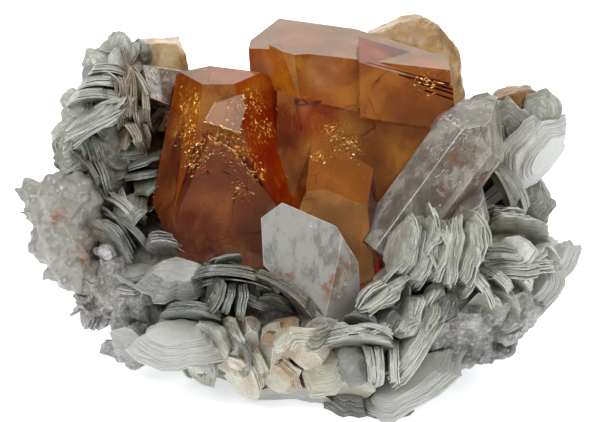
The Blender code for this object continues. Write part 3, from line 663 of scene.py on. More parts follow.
# %% Single books
BOOKS = {
    "silver": {
        "left diagonal": ((-35.8, 0, 45.9), 13, 10, 2.4, 35, 12),
        "left crown": ((-31.5, 10, 53.2), 5, 9, 1.4, 36, 60),
        "left crown white": ((-29.5, 11, 52.8), 5, 8, 1.4, 130, 55),
        "left shoulder": ((-36, 8, 53), 4.5, 8, 1.5, 23, 55),
        "left cheek": ((-39.5, 2, 47), 5, 9, 1.6, 42, 50),
        "left outer rim": ((-41, -1, 42.5), 6.5, 9, 1.6, 80, 45),
        "left upper face": ((-39, 2, 45), 7, 9, 1.5, 43, 55),
        "left mid face": ((-40, -2, 39), 6, 9, 1.5, 24, 60),
        "left lip": ((-30.5, -6, 30.5), 7, 10, 1.4, 137, 12),
        "left flank": ((-30, -7, 31.5), 7, 9, 1.3, 39, 30),
        "shell back": ((-14, -25, 14.5), 7, 9, 1.5, 132, 25),
        "front dome": ((2.5, -28, 17.5), 7, 8, 1.7, 7, 38),
        "front shelf": ((10, -28, 16), 11.5, 11, 2, 179, 15),
        "front step": ((13, -25, 23), 8, 10, 1.5, 28, 15),
        "front corner": ((17.5, -26, 19.5), 7, 9, 1.5, 60, 20),
        "right lens": ((18.5, -26, 14), 14.5, 10, 2.4, 56, 18),
        "right stack": ((20, -25, 18), 8.5, 9, 1.5, 55, 22),
        "right mid": ((32, -19, 18), 6, 9, 1.4, 165, 35),
        "right cheek": ((42.5, -10, 23.5), 6, 9, 1.6, 155, 30),
        "rosette dome": ((37, -9, 27.5), 12, 13, 2.4, 179, 35),
        "rosette crescent": ((28, -20, 28), 13, 12, 2.2, 74, 25),
        "rear right crown": ((42, 10, 43.5), 7, 8, 1.6, 130, 60),
        "rear right bit": ((32.5, 9.5, 44), 7, 8, 1.8, 30, 45),
        "rear right leaf": ((37.3, 4, 42.6), 9, 6.5, 1.6, 128, 58),
        "rear right rounded": ((42.2, 4, 45), 7, 7.5, 1.6, 100, 55),
        "rear right neck": ((40, 4, 43), 6, 9, 1.3, 36, 35),
        "rear right base": ((38.5, 2, 31), 7, 9, 1.6, 46, 40),
        "rear right face": ((42.5, 8, 40), 6, 8, 1.6, 130, 55),
        "rear sill": ((36, -3, 28), 6.5, 10, 1.6, 175, 12),
        "rear bud": ((41, 1, 28), 5.5, 8, 2.1, 119, 50),
    },
    "grey": {
        "left pale fin": ((-36, 5, 51), 5, 7, 1.3, 108, 60),
        "white cap": ((-21.5, -20, 24.1), 11.5, 10, 3, 3, 42),
        "shell wing": ((-29, -18, 10.5), 7, 9, 1.6, 145, 35),
        "front grey face": ((9, -29, 12), 6, 8, 2, 7, 65),
        "front foot": ((-1, -20, 2), 13, 13, 2.4, 173, 25),
        "front foot right": ((8.5, -21, 2.5), 8, 12, 2.4, 3, 35),
        "front foot corner": ((15, -23, 2), 8, 10, 2.2, 5, 30),
    },
    "pale": {
        "white shell": ((-21, -24, 13.8), 16.5, 9, 3, 5, 55),
        "rear right petal": ((41.7, -1, 38), 15.5, 7.5, 2.4, 50, 122),
        "rear right petal side": ((40.2, 0, 38.8), 13, 8, 2.4, 55, 125),
        "right keel": ((18.8, -24.5, 6.3), 17, 11, 2.4, 31, 38),
        "right wing": ((41.5, -9, 16.5), 10, 8, 2.5, 56, 38),
        "right wing tip": ((45.4, -5, 20), 9.5, 6, 2.4, 56, 42),
        "right wing low": ((43, -6, 16.8), 8, 7, 1.8, 60, 35),
    },
    "slate": {
        "left broad face": ((-32, -11, 26.5), 10.5, 10, 1.7, 128, 25),
        "left inner low": ((-26.5, -5, 35), 6.5, 9, 1.4, 26, 25),
        "left inner face": ((-32.5, -3, 38), 5, 6, 1.4, 28, 65),
        "left dark slab": ((-34, -6, 33.5), 7, 9, 1.4, 60, 40),
        "left slab": ((-35, -7, 31.5), 9, 10, 1.6, 118, 22),
        "dark arc left": ((-11.5, -21, 24.8), 12, 9, 1.7, 175, 12),
        "dark arc right": ((-2, -23, 22.5), 12.5, 9, 1.7, 145, 12),
        "dark arc under": ((-9.5, -21, 22.5), 11, 11, 1.5, 169, 8),
        "front wavy": ((-18, -23, 18.5), 10.5, 10, 1.7, 172, 15),
        "front green": ((13.5, -26, 19), 6.5, 9, 1.5, 35, 25),
        "front green low": ((11, -27, 18), 6, 9, 1.4, 153, 30),
        "right under rosette": ((23.5, -23, 20), 6, 9, 1.5, 57, 25),
        "front ridge": ((-10, -26, 12.5), 8, 9, 1.4, 118, 20),
    },
    "rough": {
        "left stepped": ((-23.5, -12, 26), 7, 10, 2.1, 177, 30),
        "left low rim": ((-36, -10, 15.5), 7.5, 10, 1.8, 14, 42),
        "left low face": ((-29.5, -16, 13.5), 8, 9, 2.1, 172, 58),
        "left purple face": ((-33.5, -10.5, 20.5), 11, 10, 2.1, 14, 50),
        "left keel": ((-29.5, -15, 7.5), 7.5, 12, 2.5, 166, 35),
        "left rough": ((-31.5, -13, 23), 8, 10, 1.6, 172, 40),
        "left rough low": ((-35.8, -10, 15.4), 7, 10, 1.6, 126, 30),
        "right grey face": ((28.5, -20, 13.5), 11, 12, 2.4, 176, 58),
        "right low face": ((29, -18, 9), 10, 11, 2.4, 10, 38),
        "right knob face": ((36, -16, 13.5), 8.5, 9, 2.1, 22, 55),
        "right lower edge": ((34, -15, 8), 10, 10, 2.1, 27, 40),
        "right side low": ((38.5, -11, 9.5), 8.5, 10, 2.1, 34, 45),
    },
    "yellowish": {
        "front yellow face": ((1, -29, 13.5), 8, 9, 2.4, 179, 45),
        "front left foot": ((-9.5, -24, 8), 8.5, 10, 2.1, 135, 25),
        "front sill": ((-3, -27, 16.5), 7.5, 9, 1.4, 28, 35),
        "front bright": ((4, -29, 10.5), 7.5, 9, 1.7, 8, 50),
        "front low pale": ((-3.5, -26, 7.5), 9.5, 9, 1.2, 150, 50),
        "front low mid": ((9, -25, 6.5), 7.5, 9, 1.7, 172, 30),
    },
    "rusty": {
        "left post foot": ((-28, 1, 41.5), 6, 10, 1.2, 108, 0),
    },
}
print("single books:", sum(len(rows) for rows in BOOKS.values()))

# %% [markdown]
# ## Sheaves of books
# Where many books grow side by side, only the first and the last one of the sheaf are given, with
# how many there are. The rest are spread evenly between them.

# %% Sheaves
SHEAVES = {
    "silver": [
        (3, ((-33.5, 7, 51), 7, 12, 1.4, 178, 12), ((-35.5, 2, 48.5), 9, 12, 1.4, 181, 10)),
        (3, ((12, -28, 11), 7.5, 9, 1.2, 97, 5), ((15.5, -27, 11), 7, 9, 1.2, 89, 0)),
        (4, ((17, -20, 29), 11.5, 10, 2.1, 72, 25), ((25, -20, 28), 11, 10, 1.5, 79, 15)),
        (3, ((35.5, -13, 27.2), 10, 12, 1.6, 0, 20), ((36, -15, 24), 15, 13, 1.6, 3, 10)),
        (3, ((30.5, -20, 23), 6.5, 10, 1.4, 132, 5), ((37.5, -16, 22), 6, 10, 1.4, 150, 10)),
        (3, ((36, -2, 33.8), 9, 7, 1.2, 117, 5), ((38, -1, 33), 8.5, 7, 1.2, 121, 8)),
    ],
    "slate": [
        (3, ((-35, -8, 29), 11, 8, 1.2, 125, 12), ((-29, -9, 27), 11, 8, 1.2, 135, 15)),
        (4, ((-38, -1, 39.5), 6.5, 9, 1.2, 114, 12), ((-34, 0, 39), 8, 10, 1.2, 104, 8)),
        (2, ((-37, -3, 36), 9.5, 10, 1.3, 120, 15), ((-34.5, -2, 35.5), 9.5, 10, 1.3, 112, 10)),
        (2, ((-27, -1, 38), 8, 10, 1.2, 21, 10), ((-27, -3, 36), 7, 10, 1.4, 9, 6)),
        (3, ((-14.5, -23, 22), 5, 9, 1, 60, 0), ((-10.5, -25, 21), 6, 9, 1.1, 86, 5)),
    ],
    "rusty": [
        (4, ((-31, 4, 47.5), 11, 10, 0.9, 94, 0), ((-27.5, 4.5, 47), 10, 10, 0.9, 90, 0)),
    ],
}


def between(first, last, share):
    """The book a share of the way from the first to the last of a sheaf."""
    centre = Vector(first[0]).lerp(Vector(last[0]), share)
    return (centre, *(a + (b - a) * share for a, b in zip(first[1:], last[1:])))


print("books in sheaves:", sum(count for rows in SHEAVES.values() for count, _, _ in rows))

# %% [markdown]
# ## From a row to axes
# A row gives angles, because that is how a book is read off the display side. The stack of leaves
# needs the half-axes of its sheet instead. The books are spread a little wider than the solid
# blades, so that their ragged rims close the gaps.

# %% Axes of a book
BOOK_SPREAD = 1.14


def display_axes(length, width, angle, lean):
    """Half-axes of a book whose length runs along an angle on the display side."""
    angle, lean = radians(angle), radians(lean)
    along = ACROSS * cos(angle) + UPWARD * sin(angle)
    edge_up = UPWARD * cos(angle) - ACROSS * sin(angle)
    normal = edge_up * cos(lean) + OUTWARD * sin(lean)
    return along * length / 2 * BOOK_SPREAD, normal.cross(along) * width / 2 * BOOK_SPREAD


print("books are", BOOK_SPREAD, "times as wide as the solid blades")

# %% [markdown]
# ## Books at the back
# The sides and the back carry rows of books that flare out and up from the bowl like petals. Each
# row goes round the bowl at a height, with its books drawn at random round their even places.

# %% Back rows
BACK_SEED = 11
# Each row is its height, its half-width and half-depth, its first and last angle and its books.
BACK_ROWS = [
    (8, 32, 24, -15, 195, 11),
    (17, 38, 28.5, -5, 190, 12),
    (27, 39, 29, 12, 172, 11),
    (36, 35, 27, 20, 160, 9),
]
PETAL_INSET = 2
# How far the books flare out and roll, in degrees, and their sizes in millimetres.
PETAL_FLARES, PETAL_ROLLS = (-5, 60), (-35, 35)
PETAL_HALF_LENGTHS, PETAL_HALF_WIDTHS, PETAL_THICKNESSES = (5.5, 8), (5, 6.5), (1.5, 2.3)


def back_books():
    """Centre, half-length, half-width and thickness of each book round the back, in millimetres."""
    draw = random.Random(BACK_SEED)
    for height, wide, deep, start, end, count in BACK_ROWS:
        for step in range(count):
            angle = radians(start + (end - start) * (step + 0.5) / count + draw.uniform(-5, 5))
            out = Vector((cos(angle), sin(angle), 0))
            flare = radians(draw.uniform(*PETAL_FLARES))
            rise = out * cos(flare) + Vector((0, 0, sin(flare)))
            level = out.cross(Vector((0, 0, 1)))
            roll = radians(draw.uniform(*PETAL_ROLLS))
            spread = level * cos(roll) + level.cross(rise) * sin(roll)
            centre = Vector((wide * cos(angle), deep * sin(angle), height + draw.uniform(-2, 2)))
            half_long = spread * draw.uniform(*PETAL_HALF_LENGTHS)
            half_wide = rise * draw.uniform(*PETAL_HALF_WIDTHS)
            thickness = draw.uniform(*PETAL_THICKNESSES)
            draw.random()  # a spare draw, so that the books after this one keep their numbers
            yield centre - out * PETAL_INSET, half_long, half_wide, thickness


print("books round the back:", sum(row[-1] for row in BACK_ROWS))

# %% [markdown]
# ## Corners and windows
# Seen from the display side the specimen has bays in its outline, and two places where the eye
# goes past the front books into the dark. A random book would fill them, so these areas stay free.

# %% Open corners and windows
# Each area is from and to across the display side, and from and to up it, in millimetres.
OPEN_CORNERS = [
    ((42, 60), (-6, 8)), ((44, 60), (8, 23)), ((35, 42), (18.5, 26)), ((30, 36), (20.5, 26)),
    ((40, 60), (18, 30)), ((-60, -38.5), (19, 30)),
    ((-60, -41.5), (-26, -14)), ((35, 60), (-40, -22.5)), ((-60, -43.5), (5, 25)),
    ((29, 60), (-40, -24.5)), ((-60, -27), (-40, -24.5)), ((-60, -33), (-40, -20)),
    ((39.5, 60), (-40, -20)), ((43, 60), (-40, -16.5)),
]

# The dark gap by the tall quartz, and the low quartz points; nothing in front of this depth.
WINDOWS = [((31.5, 36.5), (0.5, 8)), ((-11, -1.5), (-22.5, -15.5))]
WINDOW_DEPTH = 6


def lies_in(point, areas):
    """Whether a point in millimetres lies in one of the areas as seen from the display side."""
    across, up = point.dot(ACROSS), (point - CAMERA_AIM / MM).dot(UPWARD)
    return any(left < across < right and low < up < high for (left, right), (low, high) in areas)


print("areas kept free:", len(OPEN_CORNERS) + len(WINDOWS))

# %% [markdown]
# ## All the large books
# The rows, the sheaves and the books round the back come into one list, because the small books
# are later laid beside the nearest large one.

# %% List of the large books
FINISHES = {
    "rusty": RUSTY, "silver": SILVER, "grey": GREY, "pale": PALE, "slate": SLATE, "rough": ROUGH,
    "yellowish": STAINED,
}
BACK_SPREAD = 1.1
BACK_LEAN = 20
END_SHARE = 0.8
large_books = []
for finish in FINISHES:
    rows = list(BOOKS[finish].values())
    for count, first, last in SHEAVES.get(finish, []):
        rows += [between(first, last, step / (count - 1)) for step in range(count)]
    for centre, length, width, thickness, angle, lean in rows:
        along, wide = display_axes(length, width, angle, lean)
        large_books.append((finish, Vector(centre), along, wide, thickness, lean))
for centre, along, wide, thickness in back_books():
    long_end, wide_end = along * END_SHARE, wide * END_SHARE
    ends = (centre, centre + long_end, centre - long_end, centre + wide_end, centre - wide_end)
    if any(lies_in(end, OPEN_CORNERS) for end in ends):
        continue
    large_books.append(("silver", centre, along * BACK_SPREAD, wide * BACK_SPREAD, thickness, BACK_LEAN))
print("large books:", len(large_books))

# %% [markdown]
# ## Building the large books
# A book that shows its edge is an even stack. One that turns its face to the viewer gets thinner
# leaves that end in terraces, so that its face shows steps as the real ones do. A rough book that
# faces the viewer is left out, because the crumbly mica takes its place.

# %% Large books
FACING_LEAN = 45
FLATTEST_ROUGH = 35
# How far the terraces of a book that faces the viewer go in, where it isn't three quarters.
TERRACES = {"pale": 0.4, "grey": 0.4, "yellowish": 0.4}
LOOSE, RAGGED = {"rough": 0.9}, {"rough": 0.07}

for finish, material in FINISHES.items():
    bowl_part = bmesh.new()
    for own_finish, centre, along, wide, thickness, lean in large_books:
        if own_finish != finish or (finish == "rough" and lean >= FLATTEST_ROUGH):
            continue
        facing = min(lean / FACING_LEAN, 1)
        book(bowl_part, centre, along, wide, thickness * 1.2,
             bend=DRAW.uniform(0.13, 0.24) * (1 - 0.6 * facing),
             steps=0.1 + TERRACES.get(finish, 0.75) * facing ** 2,
             loose=LOOSE.get(finish, 0.3), ragged=RAGGED.get(finish, 0.035),
             leaf_thickness=LEAF_THICKNESS * (1 - 0.42 * facing))
    stay_in_box(bowl_part)
    finish_piece("mica_" + finish, bowl_part, material, "muscovite", "muscovite_matrix")

# %% [markdown]
# ## Small books between the large ones
# The bowl is covered with books of every size. Setting each one by hand would take days, so the
# small ones are strewn over the solid bowl: points are drawn on its faces by area, and each gets a
# small book that lies nearly as the large book next to it, which keeps the sheaves together.

# %% Points and their large books
def face_points(mesh, count):
    """Random points on a mesh, spread by area, with the face normal."""
    mesh.calc_loop_triangles()
    corners = [vert.co for vert in mesh.vertices]
    triangles = [tuple(corners[index] for index in entry.vertices) for entry in mesh.loop_triangles]
    areas = [(b - a).cross(c - a).length / 2 for a, b, c in triangles]
    for a, b, c in DRAW.choices(triangles, weights=areas, k=count):
        u, v = DRAW.random(), DRAW.random()
        if u + v > 1:
            u, v = 1 - u, 1 - v
        yield a + (b - a) * u + (c - a) * v, (b - a).cross(c - a).normalized()


def neighbour(point):
    """The large book whose plate is nearest to a point in millimetres, and how far off it is."""
    def distance(entry):
        offset = point - entry[1]
        length, width = entry[2].length, entry[3].length
        x = max(abs(offset.dot(entry[2]) / length) - length, 0)
        y = max(abs(offset.dot(entry[3]) / width) - width, 0)
        z = max(abs(offset.dot(entry[2].cross(entry[3]).normalized())) - entry[4] / 2, 0)
        return (x * x + y * y + z * z) ** 0.5
    nearest = min(large_books, key=distance)
    return nearest, distance(nearest)


print("large books to lie beside:", len(large_books))

# %% [markdown]
# ## Where no small book goes
# Small books keep off the underside, the crystals, the open areas and the clean faces of the large
# pale and grey books. They are sorted into three sides, so that no piece gets too many faces.

# %% Free faces and sides
UNDERSIDE = -0.8
LOWEST_BOOK = 2
CRYSTAL_CLEARANCE = 1.4
CLEAN_FINISHES = ("pale", "grey")
CLEAN_DEPTH = 1
FRONT_DEPTH = 2


def hides_a_clean_face(point):
    """Whether a point in millimetres lies before the clean face of a pale or grey book."""
    for finish, centre, along, wide, _, _ in large_books:
        offset = point - centre
        if finish in CLEAN_FINISHES and offset.dot(OUTWARD) > -CLEAN_DEPTH:
            across = offset - OUTWARD * offset.dot(OUTWARD)
            long_share = across.dot(along) / along.length_squared
            wide_share = across.dot(wide) / wide.length_squared
            if long_share ** 2 + wide_share ** 2 < 1:
                return True
    return False


def takes_a_book(point, normal):
    """Whether a small book may grow at a point of the bowl's surface."""
    if normal.z < UNDERSIDE or point.z < LOWEST_BOOK * MM:
        return False
    if nearest_crystal(point)[0] < CRYSTAL_CLEARANCE * MM:
        return False
    if lies_in(point / MM, OPEN_CORNERS) or hides_a_clean_face(point / MM):
        return False
    return point.y >= WINDOW_DEPTH * MM or not lies_in(point / MM, WINDOWS)


def side_of(centre):
    """The part of the specimen that a large book is in."""
    return "front" if centre.y < FRONT_DEPTH else "back_left" if centre.x < 0 else "back_right"


print("clean faces:", sum(row[0] in CLEAN_FINISHES for row in large_books))

# %% [markdown]
# ## Strewing
# Each point draws its numbers from its own seed, so a book that is left out doesn't change the
# others. On top of a large book only a few small ones grow, and in the rough and the dark parts
# some are dropped, because the mica there is worn.

# %% Strewn books
STREWN = 5500
# Half-lengths and thicknesses in millimetres, and the width as a share of the length.
SMALL_HALF_LENGTHS, SMALL_THICKNESSES, SMALL_WIDTHS = (1.8, 4.2), (0.5, 1.1), (0.65, 0.95)
SMALL_SINKS, SMALL_BENDS = (0, 1.2), (0.02, 0.2)
TURN_SPREAD = 20
ON_A_BOOK = 0.4
EDGE_ON_LEAN = 30
KEPT = {"rough": 0.5, "slate": 0.6}
ON_BOOK_SHARES = {"rough": 0.15, "pale": 0, "grey": 0, "slate": 0.06}

strewn = {}
points = list(face_points(frame["nodes"]["muscovite_matrix"].data, STREWN))
for number, (point, normal) in enumerate(points):
    DRAW.seed(number)
    if not takes_a_book(point, normal):
        continue
    (finish, centre, along, wide, thickness, lean), away = neighbour(point / MM)
    share = ON_BOOK_SHARES.get(finish, 0.25 if lean < EDGE_ON_LEAN else 0)
    if away < ON_A_BOOK and DRAW.random() > share:
        continue
    if DRAW.random() > KEPT.get(finish, 1):
        continue
    wobble = Matrix.Identity(3)
    for axis in (ACROSS, UPWARD, OUTWARD):
        wobble = wobble @ Matrix.Rotation(radians(DRAW.gauss(0, TURN_SPREAD)), 3, axis)
    size = DRAW.uniform(*SMALL_HALF_LENGTHS)
    key = (finish, side_of(centre))
    if key not in strewn:
        strewn[key] = bmesh.new()
    root = point / MM - normal * DRAW.uniform(*SMALL_SINKS)
    half_wide = wobble @ wide.normalized() * size * DRAW.uniform(*SMALL_WIDTHS)
    book(strewn[key], root, wobble @ along.normalized() * size, half_wide,
         DRAW.uniform(*SMALL_THICKNESSES), bend=DRAW.uniform(*SMALL_BENDS), steps=0.2, loose=0.8,
         ragged=0.08, segments=9)
for (finish, side), bowl_part in strewn.items():
    if len(bowl_part.faces) > 0:
        stay_in_box(bowl_part)
        finish_piece(f"mica_small_{finish}_{side}", bowl_part, FINISHES[finish], "muscovite",
                     "muscovite_matrix")

# %% [markdown]
# ## Massive mica
# Behind the books is massive mica, and low on both flanks it comes out as a crumbly face. The solid
# bowl already makes room for the crystals, so the massive mica is the part of it that lies inside
# rounded lumps. It is remeshed into even faces and roughened with noise.

# %% Lumps
# Each lump of massive muscovite is a centre and three half-sizes.
CORE_LUMPS = {
    "floor": ((3, -2, 7), (33, 25, 10)),
    "front rim": ((0, -19, 12), (28, 8, 8)),
    "front middle": ((-9, -18, 19), (10, 6, 6)),
    "right front": ((27, -12, 16), (15, 10, 10)),
    "rosette heart": ((23, -16, 21), (9, 5, 7)),
    "right knob": ((36, -11, 14), (7, 6, 6)),
    "left front": ((-27, -8, 18), (12, 10, 9)),
    "left wall": ((-35, 5, 32), (8, 13, 17)),
    "left shoulder": ((-31, 10, 44), (7, 8, 8)),
    "right wall": ((39.5, 9.5, 23), (8, 11, 11)),
    "right shoulder": ((39.5, 13, 36), (8, 7, 8)),
    "left back": ((-20, 19, 30), (14, 9, 14)),
    "right back": ((22, 21, 28), (15, 9, 17)),
    "back wall": ((2, 22, 22), (32, 9, 16)),
}
CRUMBLY_LUMPS = {
    "left flank": ((-33, -9, 14), (11, 13, 11.5)),
    "left heel": ((-29, -15, 9), (10, 9, 8)),
    "right flank": ((30, -15, 12.5), (10, 10.5, 7)),
    "right knob": ((36.5, -13, 14.5), (6.5, 9, 5.5)),
}
print("lumps:", len(CORE_LUMPS), "in the core,", len(CRUMBLY_LUMPS), "on the flanks")

# %% [markdown]
# ## Cutting and remeshing
# A Boolean keeps the part of one closed mesh that lies inside another, or takes it away, and a
# voxel remesh gives the result even faces. Both are modifiers, so a helper reads the finished mesh
# back and drops the loose object.


# %% Modifiers on a loose copy
def add_boolean(target, operation, other):
    """Cuts the target by the other object."""
    modifier = target.modifiers.new(operation.lower(), "BOOLEAN")
    modifier.operation = operation
    modifier.object = other
    modifier.solver = "EXACT"
    modifier.use_self = True


def add_remesh(target, voxel):
    """Gives the target even faces; voxel is their size in millimetres."""
    modifier = target.modifiers.new("even_faces", "REMESH")
    modifier.mode = "VOXEL"
    modifier.voxel_size = voxel * MM


def applied(source):
    """A bmesh of the object with its modifiers in effect; the object is removed."""
    bpy.context.view_layer.update()
    evaluated = source.evaluated_get(bpy.context.evaluated_depsgraph_get())
    bm = bmesh.new()
    bm.from_mesh(evaluated.to_mesh())
    evaluated.to_mesh_clear()
    bpy.data.objects.remove(source)
    return bm


print("helpers: add_boolean, add_remesh, applied")

# %% [markdown]
# ## The skin of the massive mica
# A cell pattern gives the skin its knobs and a fractal noise its grit. Both push each point along
# its normal by fractions of a millimetre. Points next to a crystal or on the flat foot stay.

# %% Core and crumbly flanks
CORE_INSET = 1.5
FOOT_BAND = 0.5
QUIET_BAND = 1.2
KNOB_LEVEL = 0.45
# The skin goes in and out this far, and is sunk a little, so that it stays under the books.
SKIN_IN, SKIN_OUT, SKIN_SINK = 1.2, 0.35, 0.15
LAYER_WAVE = 2 * MM


def knobbly(point, knob, swell, grit, density, octaves):
    """How far in millimetres a rough skin stands out at a point, from knobs and grit."""
    knobs = (KNOB_LEVEL - noise.voronoi(point / knob / MM)[0][0]) * swell
    return knobs + noise.fractal(point * density, 1.0, 2.0, octaves) * grit


def massive_mica(name, rows, inset, voxel, knob, swell, grit, material):
    """The part of the bowl inside rounded lumps, with a rough skin; all lengths are millimetres."""
    bm = bmesh.new()
    for centre, half in rows.values():
        size = Matrix.Diagonal((*((side - inset) * MM for side in half), 1))
        bmesh.ops.create_icosphere(bm, subdivisions=3, radius=1,
                                   matrix=Matrix.Translation(Vector(centre) * MM) @ size)
    lumps = loose_object(name + "_lumps", bm)
    source = loose_object(name + "_source", merged("muscovite_matrix"))
    add_boolean(source, "INTERSECT", lumps)
    add_remesh(source, voxel)
    bm = applied(source)
    bpy.data.objects.remove(lumps)
    bm.normal_update()
    _, tone, stained, flat = mica_layers(bm)
    for vert in bm.verts:
        away = nearest_crystal(vert.co)[0]
        vert[flat] = vert.co + Vector((0, 0, LAYER_WAVE)) * noise.noise(vert.co * 120)
        vert[tone] = 0.5 + 0.5 * noise.noise(vert.co * 150)
        vert[stained] = stain_share(away)
        if vert.co.z > FOOT_BAND * MM and away > QUIET_BAND * MM:
            level = min(knobbly(vert.co, knob, swell, grit, 500, 4), SKIN_OUT)
            vert.co += vert.normal * max(-SKIN_IN, level - SKIN_SINK) * MM
    stay_in_box(bm)
    finish_piece(name, bm, material, "muscovite", "muscovite_matrix", sharp=60)


# The core's dark finish is partly painted shade in the gaps behind the books.
massive_mica("mica_core", CORE_LUMPS, CORE_INSET, 0.7, 3, 0, 0.45, CORE)
massive_mica("mica_crumbly", CRUMBLY_LUMPS, 0, 0.42, 3.2, 1.6, 0.8, ROUGH)

# %% [markdown]
# ## Scheelite
# The real crystals are clear orange, but full of cracks and veils that throw back gold. The body
# is a clear shader with an absorbing volume. Each facet has its own colour, because one mirrors
# the tent and the next looks into the crystal; on the faces that mirror the tent that colour is a
# painted reflection. It could be painted on as an image, but a colour stored on the faces ends
# sharply at the facet's edge.

# %% Facet colours
# The rose and peach tones are painted reflections of the tent on the faces that look up, with some haze in
# the peach; mauve and dusky are painted sheen.
ROSE_REFLECTION = (0.43, 0.20, 0.085)
PEACH_REFLECTION = (0.52, 0.27, 0.075)
TAN = (0.54, 0.20, 0.045)
AMBER_GOLD = (0.62, 0.22, 0.014)
MAUVE_SHEEN = (0.36, 0.118, 0.055)
HONEY = (0.52, 0.23, 0.05)
PALE_HONEY = (0.86, 0.43, 0.13)
BROWN = (0.20, 0.07, 0.017)
DEEP_RED = (0.36, 0.02, 0.001)
DARK_RED = (0.16, 0.008, 0.001)
BURNT_GOLD = (0.15, 0.032, 0.003)
DUSKY_SHEEN = (0.34, 0.15, 0.09)
# Each row is a plane through three points in millimetres, a colour and how much it covers.
FACETS = {
    "front level top": (((-20, -1, 54.2), (-16.7, -6, 53.6), (-7.6, -2.6, 54.2)), ROSE_REFLECTION, 0.9),
    "small sloping face": (((-14.5, -7.9, 51), (-10, -7.2, 52.4), (-10.4, -11.6, 46.8)), ROSE_REFLECTION, 0.85),
    "broad face": (((-18, -10.1, 46.5), (-6.5, -13.1, 37.5), (-20.5, -15.6, 25)), MAUVE_SHEEN, 0.85),
    "left bevel": (((-21.5, -1, 53.2), (-16.7, -6, 53.6), (-23, -14.5, 28)), BURNT_GOLD, 0.95),
    "left bevel, lower": (((-22.4, -8.6, 40), (-18.6, -8, 46), (-23.2, -14.6, 28)), BURNT_GOLD, 0.85),
    "face above the crack": (((-11.3, -6.1, 53.7), (-16.7, -6, 53.6), (-18.2, -10.1, 44.1)), TAN, 0.5),
    "growth triangle": (((-1.1, -2.6, 50), (3.8, -3, 49.6), (1.7, -3.9, 47.8)), DUSKY_SHEEN, 0.95),
    "right front": (((-7.6, -2.6, 54.2), (-6.5, -12.5, 37.5), (-1.7, -1, 49)), DARK_RED, 0.95),
    "upper top": (((-3.5, 13, 59.2), (1.7, -3.2, 58), (25.8, -1.2, 54.6)), PEACH_REFLECTION, 0.9),
    "upper top left": (((-3.5, 13, 59.2), (-3.2, -3, 59), (-8.7, 5, 57.2)), PEACH_REFLECTION, 0.85),
    "upper left front": (((-9, 3, 57.4), (-3.4, -3, 59.2), (-7.6, 1.5, 53)), AMBER_GOLD, 0.75),
    "rib pale face": (((-3.4, -3.1, 59.2), (-1, -4.1, 58.8), (-0.9, -6.1, 51.7)), PEACH_REFLECTION, 0.9),
    "rib dark face": (((-1, -4.1, 58.8), (1.6, -2.7, 58.2), (0.8, -6, 51.2)), AMBER_GOLD, 0.6),
    "upper front": (((1.7, -2.8, 58), (25.8, -1.4, 54.6), (2.5, -5.1, 50)), TAN, 0.75),
    "right ledge front": (((10.2, -4.2, 57), (25.8, -2.4, 53), (10.8, -6.2, 49)), TAN, 0.7),
    "ledge top": (((10.2, -4.2, 57), (25.8, -2.4, 52.4), (12, 2, 57.5)), AMBER_GOLD, 0.4),
    "lower body front": (((0, -5.6, 46), (24, -4.6, 45.5), (14, -12, 28)), HONEY, 0.55),
    "corner front": (((0.9, -12.6, 36.4), (11.6, -12.4, 33.6), (12.2, -14.4, 28.2)), PALE_HONEY, 0.75),
    "corner right slope": (((4.3, -11.8, 37), (11.6, -12.4, 33.6), (6, -8, 41)), BROWN, 0.97),
    "corner left slope": (((0.9, -12.6, 36.4), (4.3, -11.8, 37), (2.5, -8.5, 41)), BROWN, 0.97),
}
print("facets with a colour of their own:", len(FACETS))

# %% [markdown]
# ## Finding a facet
# The solid's faces have no names, but each facet is known by its plane. A face belongs to it when
# it looks the same way and its middle lies in the plane. The colour is stored on the face, and a
# few dull facets are marked as well, because they are etched and mirror next to nothing.

# %% Storing the facet colours
DULL_FACETS = ("corner right slope", "corner left slope", "left bevel", "right front",
               "growth triangle")
SAME_PLANE = 0.12 * MM
SAME_DIRECTION = 0.995


def colour_facets(bm):
    """Stores each facet's colour on its faces, with its cover in the alpha, and the dull ones."""
    bm.faces.layers.float_color.new("facet")
    bm.faces.layers.float.new("dull")
    layer, dull = bm.faces.layers.float_color["facet"], bm.faces.layers.float["dull"]
    bm.normal_update()
    for face in bm.faces:
        face[layer] = (0, 0, 0, 0)
        face[dull] = 0
    for name, ((a, b, c), colour, cover) in FACETS.items():
        a, b, c = (Vector(point) * MM for point in (a, b, c))
        normal = (b - a).cross(c - a).normalized()
        for face in bm.faces:
            level = abs((face.calc_center_median() - a).dot(normal))
            if abs(face.normal.dot(normal)) > SAME_DIRECTION and level < SAME_PLANE:
                face[layer] = (*colour, cover)
                face[dull] = 1 if name in DULL_FACETS else 0


print("dull facets:", len(DULL_FACETS))
